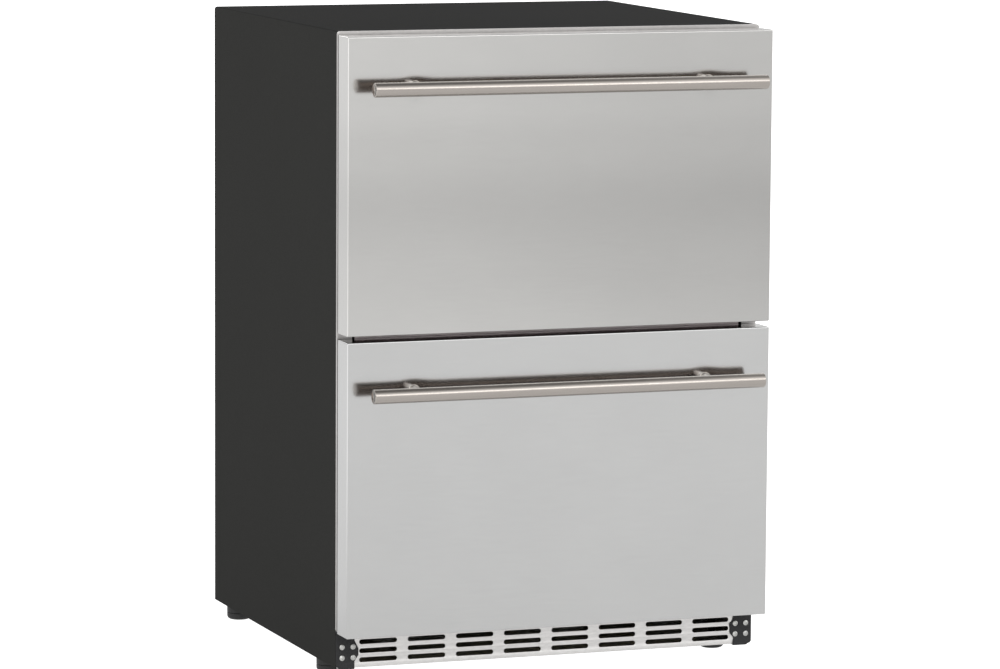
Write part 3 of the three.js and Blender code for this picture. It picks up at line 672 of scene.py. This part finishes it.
def fillet(points, radius, steps=4):
    """A closed outline with its corners rounded."""
    result = []
    count = len(points)
    for i, corner in enumerate(points):
        here = Vector(corner)
        before = Vector(points[i - 1]) - here
        after = Vector(points[(i + 1) % count]) - here
        half = before.angle(after) / 2
        reach = min(radius / tan(half), before.length * 0.45, after.length * 0.45)
        a, c = here + before.normalized() * reach, here + after.normalized() * reach
        for k in range(steps + 1):
            t = k / steps
            result.append(tuple((1 - t) ** 2 * a + 2 * t * (1 - t) * here + t * t * c))
    return result


def cut_sheet(name, outline, holes, front, thickness, edge=0.25 * MM):
    """Flat sheet across Y with rounded edges, from closed outlines of (x, z) points."""
    curve = bpy.data.curves.new(name, "CURVE")
    curve.dimensions = "2D"
    curve.fill_mode = "BOTH"
    curve.extrude = thickness / 2 - edge
    curve.bevel_depth = edge
    curve.bevel_resolution = 1
    curve.offset = -edge
    for points in (outline, *holes):
        line = curve.splines.new("POLY")
        line.points.add(len(points) - 1)
        for point, (x, z) in zip(line.points, points):
            point.co = (x, z, 0, 1)
        line.use_cyclic_u = True
    holder = new_object(name, curve)
    mesh = evaluated_mesh(holder)
    bpy.data.objects.remove(holder)
    bpy.data.curves.remove(curve)
    bm = bmesh.new()
    bm.from_mesh(mesh)
    bpy.data.meshes.remove(mesh)
    bmesh.ops.remove_doubles(bm, verts=bm.verts, dist=0.005 * MM)
    for v in bm.verts:
        v.co = (v.co.x, front + thickness / 2 + v.co.z, v.co.y)
    return bm


def add_block(bm, low, high):
    """A box added to a mesh."""
    middle = (Vector(low) + Vector(high)) / 2
    size = Vector(high) - Vector(low)
    bmesh.ops.create_cube(bm, size=1, matrix=Matrix.Translation(middle) @ Matrix.Diagonal((*size, 1)))


def sheet_piece(name, bm, slot, *replaced, look=None):
    """A piece of sheet on the cabinet whose plain blocks get small rounded edges."""
    obj = piece(name, mesh_from(bm, name), "cabinet", slot, *replaced, look=look)
    add_bevel(obj, 0.3 * MM, 2, 62)


# -------- grille and brackets
GRILLE = {"sheet": 1.2 * MM, "corner": 0.8 * MM, "columns": 8, "rows": 3}
GRILLE_SLOT = {
    "length": 52.8 * MM, "height": 6.3 * MM, "first_z": 29.9 * MM, "pitch_x": 68 * MM, "pitch_z": 12.1 * MM,
}
GRILLE_FLANGE = {"end": 28.5 * MM, "sheet": 1 * MM, "set_back": 0.4 * MM}
SCREW_HOLE = 2.3 * MM
# The inner edge bulges out round the screws between the two middle levels.
BRACKET = {
    "sheet": 1.5 * MM, "edge": 0.35 * MM, "corner": 2.2 * MM, "bulge": 5.5 * MM,
    "chamfer": (7.5 * MM, 4.5 * MM), "levels": (29 * MM, 37 * MM, 46 * MM, 57 * MM),
}


def bracket_screws(side):
    """The name, the centre and the low corner of each of one bracket's screws."""
    hand = "left" if side < 0 else "right"
    for column in ("outer", "inner"):
        for row in ("low", "high"):
            name = f"bracket_screw_{hand}_{column}_{row}"
            low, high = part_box(name)
            yield name, (low + high) / 2, low


def make_grille():
    """A slotted sheet with a flange along its lower edge."""
    low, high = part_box("kick_grille")
    half, tall = GRILLE_SLOT["length"] / 2, GRILLE_SLOT["height"] / 2
    holes = []
    for x in spaced(GRILLE["columns"], GRILLE_SLOT["pitch_x"]):
        for row in range(GRILLE["rows"]):
            z = GRILLE_SLOT["first_z"] + row * GRILLE_SLOT["pitch_z"]
            holes.append(slot_outline(x - half, x + half, z - tall, z + tall))
    holes += [circle(c.x, c.z, SCREW_HOLE) for side in (-1, 1) for _, c, _ in bracket_screws(side)]
    outline = rounded_loop(low.x, high.x, low.z, high.z, GRILLE["corner"])
    bm = cut_sheet("grille", outline, holes, low.y, GRILLE["sheet"])
    end = high.x - GRILLE_FLANGE["end"]
    start = (-end, low.y + GRILLE_FLANGE["set_back"], low.z)
    add_block(bm, start, (end, high.y, low.z + GRILLE_FLANGE["sheet"]))
    sheet_piece("grille", bm, "stainless", "kick_grille", look="grille")


def make_bracket(hand, side):
    """A flat plate with a chamfered outer corner, and a flange under it."""
    node = f"bracket_{hand}"
    low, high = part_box(node)
    outer = max(abs(low.x), abs(high.x))
    bulge = min(abs(low.x), abs(high.x))
    inner = bulge + BRACKET["bulge"]
    cx, cz = BRACKET["chamfer"]
    start, full_low, full_high, end = BRACKET["levels"]
    corners = [
        (inner, low.z), (outer - cx, low.z), (outer, low.z + cz), (outer, high.z), (inner, high.z),
        (inner, end), (bulge, full_high), (bulge, full_low), (inner, start),
    ]
    outline = fillet([(side * x, z) for x, z in corners], BRACKET["corner"])
    holes = [circle(c.x, c.z, SCREW_HOLE) for _, c, _ in bracket_screws(side)]
    bm = cut_sheet(f"{node}_plate", outline, holes, low.y, BRACKET["sheet"], BRACKET["edge"])
    first, last = sorted((side * inner, side * (outer - cx - 1 * MM)))
    add_block(bm, (first, low.y + 0.5 * MM, low.z), (last, high.y, low.z + BRACKET["sheet"]))
    sheet_piece(f"corner_bracket_{hand}", bm, "bracket_black", node)


# -------- screws
SHANK = 1.8 * MM
PAN_HEAD = {"height": 1.9 * MM, "recess": 1.35, "first_turn": 0.2, "turn": 0.47}
COVER_SCREW = {"radius": 4 * MM, "height": 2 * MM, "length": 9 * MM, "recess": 4.4 * MM}
# Shares: the rim and the recess's floor of a head's height, the recess's arms of its length.
HEAD = {"rim": 0.35, "floor": 0.25, "arm": 0.4}


def screw_mesh(name, radius, height, length, recess):
    """A pan-head screw along Y with a cross recess. Its seat is at y = 0 and its head at -Y."""
    rise = height * (1 - HEAD["rim"])
    ball = (radius ** 2 + rise ** 2) / (2 * rise)
    rows = [radius * i / 8 for i in range(9)]
    dome = [(r, -height + ball - sqrt(ball ** 2 - r ** 2)) for r in rows]
    under = -0.3 * MM
    profile = dome + [(radius, under), (SHANK, under), (SHANK, length), (0, length)]
    head = new_object(name, mesh_from(turned(profile, "Y", (0, 0, 0), 32), name))
    bm = bmesh.new()
    for wide, tall in ((recess, recess * HEAD["arm"]), (recess * HEAD["arm"], recess)):
        floor = (wide / 2, -height * HEAD["floor"], tall / 2)
        add_block(bm, (-wide / 2, -height - 1 * MM, -tall / 2), floor)
    cutter = new_object(name + "_cutter", mesh_from(bm, name + "_cutter", smooth=False))
    boolean = head.modifiers.new("recess", "BOOLEAN")
    boolean.operation = "DIFFERENCE"
    boolean.object = cutter
    boolean.solver = "EXACT"
    boolean.use_self = True
    mesh = evaluated_mesh(head)
    for obj in (head, cutter):
        bpy.data.objects.remove(obj)
    return mesh


def set_screw(name, source, place, turn, *replaced):
    """A screw in the cabinet, made from a shared shape and turned about its axis."""
    mesh = source.copy()
    mesh.transform(Matrix.Translation(place) @ Matrix.Rotation(turn, 4, "Y"))
    sharpen(piece(name, mesh, "cabinet", "zinc", *replaced), 32)


def make_bracket_screws():
    low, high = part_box("bracket_screw_left_outer_low")
    radius, height = (high.x - low.x) / 2, PAN_HEAD["height"]
    source = screw_mesh("pan_head", radius, height, high.y - low.y - height, radius * PAN_HEAD["recess"])
    turn = PAN_HEAD["first_turn"]
    for side in (-1, 1):
        for name, centre, low in bracket_screws(side):
            place = Vector((centre.x, low.y + height, centre.z))
            set_screw(f"{name}_head", source, place, turn, name)
            turn += PAN_HEAD["turn"]


# -------- feet
FOOT = {"pad": 19.7 * MM, "under": 5.5 * MM, "shoulder": 1.5 * MM, "sole_in": 8 * MM, "sole": 0.6 * MM}
FOOT_GROOVE = [(0, 9 * MM), (0.7 * MM, 9.6 * MM), (0, 10.2 * MM)]
STUD = {"radius": 5 * MM, "thread": 0.6 * MM, "pitch": 1.25 * MM, "tip": 1 * MM}


def make_foot(place):
    """A round pad with a grip groove and a threaded stud. It is (radius, height) from the sole up."""
    node = f"foot_{place}"
    low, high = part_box(node)
    centre = Vector(((low.x + high.x) / 2, (low.y + high.y) / 2, 0))
    radius = (high.x - low.x) / 2
    top = low.z + FOOT["pad"]
    under, shoulder = FOOT["under"], FOOT["shoulder"]
    sole, sole_in = low.z + FOOT["sole"], radius - FOOT["sole_in"]
    stud = STUD["radius"]
    profile = [(0, sole), (sole_in, sole), (sole_in, low.z)]
    profile += arc((radius - under, low.z + under), under, -90, 0, 8)
    profile += [(radius - depth, low.z + z) for depth, z in FOOT_GROOVE]
    profile += arc((radius - shoulder, top - shoulder), shoulder, 0, 90, 4)
    profile.append((stud, top))
    z = top
    while z < high.z - 2 * MM:
        profile += [(stud, z + 0.5 * MM), (stud - STUD["thread"], z + 1.1 * MM)]
        z += STUD["pitch"]
    profile += [(stud - STUD["tip"], high.z), (0, high.z)]
    mesh = mesh_from(turned(profile, "Z", centre, 64), f"levelling_foot_{place}")
    sharpen(piece(mesh.name, mesh, node, "foot_plastic", node), 40)


# -------- gaskets and cores
# The gasket's section: the distance in from its outer edge in mm, and the share of its thickness.
GASKET_SECTION = [
    (0.8, 0), (7.2, 0), (8, 0.08), (8.8, 0), (15.2, 0), (16, 0.14), (16, 0.32), (14.4, 0.5),
    (16, 0.68), (16, 0.86), (15.2, 1), (0.8, 1), (0, 0.86), (0, 0.68), (1.6, 0.5), (0, 0.32), (0, 0.14),
]
GASKET_CORNER = {"outer": 5 * MM, "least": 2 * MM}


def make_gasket(drawer):
    """A ring of soft section round the back of a drawer front."""
    node = f"{drawer}_gasket"
    low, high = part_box(node)
    rect = (low.x, high.x, low.z, high.z)
    rings = []
    for inset, share in GASKET_SECTION:
        corner = max(GASKET_CORNER["outer"] - inset * MM, GASKET_CORNER["least"])
        rings.append(rounded_ring(rect, inset * MM, low.y + share * (high.y - low.y), corner))
    mesh = mesh_from(loft(rings, closed=True), f"{drawer}_seal")
    sharpen(piece(mesh.name, mesh, f"{drawer}_drawer", "gasket_rubber", node), 50)


CORE = {"step": 1.3 * MM, "neck": 9 * MM, "corner": 1 * MM}
PLUG = {
    "proud": 19 * MM, "clearance": 5 * MM, "corner": 12 * MM,
    "edge": 5 * MM, "draft": 1.2 * MM, "cove": 1.5 * MM,
}
PLUG_OPENING = {"half": 257 * MM, "upper": (494 * MM, 823 * MM), "lower": (115 * MM, 433 * MM)}
# The plug's dished middle: the distance in from its edge and the depth, in mm.
PLUG_DISH = ((26, 0), (29, 0.5), (32, 1.7), (35, 2.6), (39, 3))


def make_core(drawer):
    """The foamed body inside the sheet, and its moulded inner face with a dished plug."""
    node = f"{drawer}_front_core"
    low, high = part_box(node)
    back = high.y - PLUG["proud"]
    half = PLUG_OPENING["half"] - PLUG["clearance"]
    bottom, top = PLUG_OPENING[drawer]
    body = (low.x, high.x, low.z, high.z)
    plug = (-half, half, bottom + PLUG["clearance"], top - PLUG["clearance"])
    steps = ((0, low.y), (0, back - CORE["step"]), (CORE["neck"], back - CORE["step"]), (CORE["neck"], back))
    rings = [rounded_ring(body, inset, y, CORE["corner"]) for inset, y in steps]
    edge, cove = PLUG["edge"], PLUG["cove"]
    steps = [(-cove, back), (0, back + cove)]
    for t in quarter(6):
        inset = PLUG["draft"] + edge * (1 - cos(t))
        steps.append((inset, high.y - edge + edge * sin(t)))
    steps += [(inset * MM, high.y - drop * MM) for inset, drop in PLUG_DISH]
    rings += [rounded_ring(plug, inset, y, PLUG["corner"]) for inset, y in steps]
    mesh = mesh_from(loft(rings), f"{drawer}_inner_face")
    sharpen(piece(mesh.name, mesh, f"{drawer}_drawer", "liner_white_core", node), 42)


# -------- tubs and liner
def folded_shell(name, profile, half, lip):
    """A sheet surface from a (y, z) outline across the width, with two ends, open along the last side.

    With a lip, the open side gets an outward edge at its two ends and its back.
    """
    bm = bmesh.new()
    left, right = [[bm.verts.new((x, y, z)) for y, z in profile] for x in (-half, half)]
    for i in range(len(profile) - 1):
        bm.faces.new((left[i], left[i + 1], right[i + 1], right[i]))
    bm.faces.new(left)
    bm.faces.new(right[::-1])
    rim_edges = []
    if lip:
        (front, top), (back, _) = profile[0], profile[-1]
        wide, far = half + lip, back + lip
        corners = ((-wide, front), (-wide, far), (wide, far), (wide, front))
        outer = [bm.verts.new((x, y, top)) for x, y in corners]
        inner = [left[0], left[-1], right[-1], right[0]]
        for i in range(3):
            bm.faces.new((inner[i], outer[i], outer[i + 1], inner[i + 1]))
            rim_edges.append((inner[i], inner[i + 1]))
    bmesh.ops.recalc_face_normals(bm, faces=bm.faces)
    weight = bm.edges.layers.float.new("bevel_weight_edge")
    rim = {bm.edges.get(pair) for pair in rim_edges}
    for edge in bm.edges:
        if len(edge.link_faces) == 2 and edge.calc_face_angle() > 0.5:
            edge[weight] = 0.2 if edge in rim else 1.0
    floor = min(bm.faces, key=lambda f: f.calc_center_median().z)
    if floor.normal.z > 0:
        bmesh.ops.reverse_faces(bm, faces=bm.faces)
    return plain_mesh(bm, name)


def thicken(obj, bend, thickness, outward):
    """Rounds the bends of a folded sheet and gives it its thickness."""
    bevel = add_bevel(obj, bend, 6)
    bevel.limit_method = "WEIGHT"
    bevel.use_clamp_overlap = False
    shell = obj.modifiers.new("sheet", "SOLIDIFY")
    shell.thickness = thickness
    shell.offset = 1 if outward else -1


# Both steps are the (y, z) of the corner over the machine compartment.
TUB = {"wall": 1.2 * MM, "lip": 6 * MM, "bend": 7 * MM, "step": (62.25 * MM, 301 * MM)}
LINER = {"wall": 1.5 * MM, "bend": 9 * MM, "step": (76.25 * MM, 287 * MM)}


def make_tub(drawer):
    """A drawer's tray, open at the top. The lower one steps up at its back."""
    node = f"{drawer}_tub"
    low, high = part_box(node)
    half, back, top = high.x - TUB["lip"], high.y - TUB["lip"], high.z - TUB["wall"]
    step_y, step_z = TUB["step"]
    floor = [(step_y, low.z), (step_y, step_z), (back, step_z)] if drawer == "lower" else [(back, low.z)]
    profile = [(low.y, top), (low.y, low.z), *floor, (back, top)]
    mesh = folded_shell(f"{drawer}_tray", profile, half, TUB["lip"])
    obj = piece(mesh.name, mesh, f"{drawer}_drawer", "stainless", node, look="tub")
    thicken(obj, TUB["bend"], TUB["wall"], False)


def make_liner():
    """The cabinet's inner box, open at the front, with a step at its bottom back."""
    low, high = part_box("inner_liner")
    wall = LINER["wall"]
    bottom, top, back, half = low.z + wall, high.z - wall, high.y - wall, high.x - wall
    step_y, step_z = LINER["step"]
    profile = [(low.y, top), (back, top), (back, step_z), (step_y, step_z), (step_y, bottom), (low.y, bottom)]
    mesh = folded_shell("food_liner", profile, half, 0)
    thicken(piece(mesh.name, mesh, "cabinet", "liner_white", "inner_liner"), LINER["bend"], wall, True)


# -------- fans, compressor and rear
# Shares of the fan's depth: where the hub starts, how deep it is, and the middle of the blades.
HUB = {"from": 0.34, "depth": 0.5, "blades": 0.27, "dome": 2 * MM, "edge": 1 * MM, "shaft": 3 * MM}
# Shares of the fan's depth: pitch and camber. Angles: sweep. The blades start inside the hub.
BLADE = {
    "steps": 8, "root": 2 * MM, "gap": 0.4 * MM, "sheet": 1.4 * MM,
    "sweep": 0.35, "pitch": 0.25, "camber": 0.05,
}


def blade_rows(start, root, tip, span, depth, middle):
    """Points (radius, angle, distance along the axis) of a curved, twisted blade, from its root out."""
    steps = BLADE["steps"]
    rows = []
    for i in range(steps + 1):
        s = i / steps
        # The blade widens outwards, and its last two rows are narrower, so that its tip is rounded.
        reach = span * (0.75 + 0.25 * s) * (1 - 0.12 * max(0, i - 6))
        rise = depth * BLADE["pitch"] * (1 - 0.35 * s)
        row = []
        for j in range(steps + 1):
            t = 2 * j / steps - 1
            lift = rise * t + depth * BLADE["camber"] * (1 - t * t)
            row.append((root + (tip - root) * s, start + BLADE["sweep"] * s + reach * t, middle + lift))
        rows.append(row)
    return rows


def make_fan(name, axis, hub, blades, span):
    """A moulded fan: a domed hub and curved, twisted blades that stay inside the CAD fan's box."""
    low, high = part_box(name)
    centre = (low + high) / 2
    radius = (high - low)[2] / 2
    depth = (high - low)["XY".index(axis)]
    first = -depth / 2
    hub_from = first + depth * HUB["from"]
    hub_to = hub_from + depth * HUB["depth"]
    shaft, edge = HUB["shaft"], HUB["edge"]
    profile = [(0, first), (shaft, first), (shaft, hub_from), (hub - edge, hub_from), (hub, hub_from + edge)]
    profile += [(hub * cos(t), hub_to + HUB["dome"] * sin(t)) for t in (0, 0.5, 1.0, 1.3)]
    profile.append((0, hub_to + HUB["dome"]))
    middle = hub_from + depth * HUB["blades"]
    bm = turned(profile, axis, centre, 48)
    for k in range(blades):
        start = 2 * pi * k / blades
        rows = blade_rows(start, hub - BLADE["root"], radius - BLADE["gap"], span, depth, middle)
        faces = []
        for shift in (BLADE["sheet"] / 2, -BLADE["sheet"] / 2):
            grid = []
            for row in rows:
                line = []
                for r, angle, lift in row:
                    u, v = r * cos(angle), r * sin(angle)
                    spot = (lift + shift, u, v) if axis == "X" else (u, lift + shift, v)
                    line.append(bm.verts.new(centre + Vector(spot)))
                grid.append(line)
            fill_grid(bm, grid)
            faces.append(grid_border(grid))
        a, b = faces
        for i in range(len(a)):
            j = (i + 1) % len(a)
            bm.faces.new((a[i], a[j], b[j], b[i]))
    mesh = mesh_from(bm, f"{name}_wheel")
    sharpen(piece(mesh.name, mesh, name, "black_plastic", name), 45)


# Heights are over the base, and the seam and the dome's start are shares of the can's height.
CAN = {
    "radius": 60 * MM, "stem": 30 * MM, "plate": 3 * MM, "under": 8 * MM, "bowl": 30 * MM, "flat": 0.7,
    "seam": 0.42, "seam_out": 4 * MM, "seam_high": 3.5 * MM, "seam_edge": 1 * MM, "dome": 0.6,
}


def make_compressor():
    """A welded can with a bowl, a seam and a smooth dome, on a base plate."""
    low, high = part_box("compressor")
    centre = Vector(((low.x + high.x) / 2, (low.y + high.y) / 2, 0))
    radius, base, top = CAN["radius"], low.z, high.z
    plate, under = base + CAN["plate"], base + CAN["under"]
    profile = [(0, plate), (CAN["stem"], plate), (CAN["stem"], under)]
    flat = radius * CAN["flat"]
    profile.append((flat, under))
    for t in (0.4, 0.8, 1.2, 1.57):
        profile.append((flat + (radius - flat) * sin(t), under + CAN["bowl"] * (1 - cos(t))))
    seam, out, edge = base + (top - base) * CAN["seam"], radius + CAN["seam_out"], CAN["seam_edge"]
    seam_top = seam + CAN["seam_high"]
    profile += [(radius, seam - edge), (out, seam), (out, seam_top), (radius, seam_top + edge)]
    start = base + (top - base) * CAN["dome"]
    profile += [(radius * cos(t), start + (top - start) * sin(t)) for t in quarter(12)[:-1]]
    profile.append((0, top))
    bm = turned(profile, "Z", centre, 72)
    add_block(bm, (low.x, low.y, low.z), (high.x, high.y, plate))
    mesh = mesh_from(bm, "compressor_can")
    add_bevel(piece(mesh.name, mesh, "cabinet", "compressor_black", "compressor"), 1 * MM, 2, 60)


REAR = {"corner": 3 * MM, "gland_hole": 7 * MM, "screw_up": 12 * MM, "screw_in": 20 * MM}
REAR_SLOT = {"columns": 14, "pitch": 34 * MM, "width": 8 * MM, "bottom": 116 * MM, "top": 211 * MM}


def make_rear_cover():
    """The slotted cover over the machine compartment, with six screws."""
    low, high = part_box("rear_cover")
    half = REAR_SLOT["width"] / 2
    xs = spaced(REAR_SLOT["columns"], REAR_SLOT["pitch"])
    holes = [slot_outline(x - half, x + half, REAR_SLOT["bottom"], REAR_SLOT["top"]) for x in xs]
    gland_low, gland_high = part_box("cord_gland")
    gland = (gland_low + gland_high) / 2
    holes.append(circle(gland.x, gland.z, REAR["gland_hole"], 32))
    outline = rounded_loop(low.x, high.x, low.z, high.z, REAR["corner"])
    bm = cut_sheet("back_cover", outline, holes, low.y, high.y - low.y)
    sheet_piece("back_cover", bm, "galvanised", "rear_cover")
    source = screw_mesh("cover_screw", *COVER_SCREW.values())
    source.transform(Matrix.Rotation(pi, 4, "Z"))
    up = REAR["screw_up"]
    for row, z, first_turn in (("low", low.z + up, 0.3), ("high", high.z - up, 0.9)):
        for column, x in enumerate((low.x + REAR["screw_in"], 0, high.x - REAR["screw_in"])):
            turn = 0.5 * column + first_turn
            set_screw(f"cover_screw_{row}_{column}", source, Vector((x, high.y, z)), turn)


# -------- stage
FLOOR_SIZE = 60
FLOOR_GREY = 0.50
# How strongly the floor glows: everywhere, more at the left front, and more where it is seen directly.
FLOOR_GLOW = 0.58
FLOOR_LEFT = 0.75
FLOOR_LIFT = 0.50
# The left front's glow grows between these x, and fades out between these y.
LEFT_X = (-0.9, -1.9)
LEFT_Y = (0.9, 0.1)


def make_floor():
    """A pale floor, lit evenly from all round and a little more at the left front."""
    bm = bmesh.new()
    corners = ((-1, -1), (1, -1), (1, 1), (-1, 1))
    bm.faces.new([bm.verts.new((x * FLOOR_SIZE, y * FLOOR_SIZE, 0)) for x, y in corners])
    mesh = mesh_from(bm, "floor", smooth=False)
    floor = new_object("floor", mesh)
    material = bpy.data.materials.new("floor")
    g = Graph(material)
    left = g.along("X", *LEFT_X, FLOOR_LEFT, interpolation_type="SMOOTHSTEP")
    front = g.along("Y", *LEFT_Y, interpolation_type="SMOOTHSTEP")
    seen = g.node("LightPath").outputs["Is Camera Ray"]
    strength = g.maths("MULTIPLY_ADD", seen, FLOOR_LIFT, g.maths("MULTIPLY_ADD", left, front, FLOOR_GLOW))
    glow = g.node("Emission", {"Strength": strength})
    diffuse = g.node("BsdfDiffuse", {"Color": rgba(FLOOR_GREY)})
    both = g.node("AddShader", {0: diffuse.outputs[0], 1: glow.outputs[0]})
    g.node("OutputMaterial", {"Surface": both.outputs[0]})
    mesh.materials.append(material)


BACKGROUND = 1.2
# The studio's greys along each axis, from its negative end at 0 to its positive end at 1.
SKY_BY_AXIS = {
    "Z": [
        (0.0, 0.9), (0.50, 0.9), (0.56, 1.1), (0.63, 1.8),
        (0.75, 2.0), (0.86, 1.4), (0.94, 0.6), (1.0, 0.25),
    ],
    "Y": [(0.0, 1.00), (0.35, 1.00), (0.52, 0.70), (0.75, 0.60), (1.0, 0.75)],
    "X": [(0.0, 0.85), (0.45, 0.90), (0.60, 1.0), (0.74, 1.0), (1.0, 0.80)],
}


def make_world():
    """A white background, and a soft studio of greys for everything that isn't seen directly."""
    world = bpy.data.worlds.new("studio")
    bpy.context.scene.world = world
    g = Graph(world, "Generated")
    up, back, across = (g.ramp(g.along(letter, -1, 1), SKY_BY_AXIS[letter], "LINEAR") for letter in "ZYX")
    studio = g.node("Background", {"Color": g.times(g.times(up, back), across)})
    white = g.node("Background", {"Strength": BACKGROUND})
    seen = g.node("LightPath").outputs["Is Camera Ray"]
    mix = g.node("MixShader", {0: seen, 1: studio.outputs[0], 2: white.outputs[0]})
    g.node("OutputWorld", {"Surface": mix.outputs[0]})


# Each light's place, the point that it faces, its size in metres and its power in watts.
LIGHTS = {
    "key": ((-2.4, -4.4, 3.6), (0, 0, 0.5), (3.0, 2.0), 34),
    "strip": ((1.9, -4.9, 2.9), (0, 0, 0.5), (3.2, 0.9), 22),
    "back": ((-1.5, 5.0, 3.0), (0, 0, 0.4), (3.0, 2.0), 14),
}


def make_light(name, place, target, size, energy):
    data = bpy.data.lights.new(name, "AREA")
    data.shape = "RECTANGLE"
    data.size, data.size_y = size
    data.energy = energy
    light = new_object(name, data)
    light.location = place
    light.rotation_euler = (Vector(target) - Vector(place)).to_track_quat("-Z", "Y").to_euler()


# -------- assembly
# The rounding, in mm, of the edges of the CAD nodes that keep their shape.
EDGES = {"foam_core": 0.5, "front_frame": 0.5, "mullion": 0.6, "evaporator_cover": 1.2, "control_panel": 1.2}
OTHER_EDGES = 0.3


def main():
    make_camera()
    bpy.context.scene.view_settings.view_transform = "Standard"
    make_floor()
    make_world()
    for name, settings in LIGHTS.items():
        make_light(name, *settings)
    for drawer, look in (("upper", "upper_front"), ("lower", "stainless")):
        make_handle(drawer)
        make_front_skin(drawer, look)
    make_grille()
    for hand, side in HANDS:
        make_bracket(hand, side)
    make_bracket_screws()
    for place in ("front_left", "front_right", "back_left", "back_right"):
        make_foot(place)
    for drawer in DRAWERS:
        make_gasket(drawer)
        make_core(drawer)
        make_tub(drawer)
    make_liner()
    make_fan("condenser_fan", "X", 20 * MM, 5, 0.48)
    make_fan("evaporator_fan", "Y", 14 * MM, 7, 0.34)
    make_compressor()
    make_rear_cover()
    for name, obj in nodes.items():
        if not obj.hide_render:
            look = "mullion" if name == "mullion" else obj.material_slots[0].material.name
            refine(name, look, EDGES.get(name, OTHER_EDGES) * MM)


main()
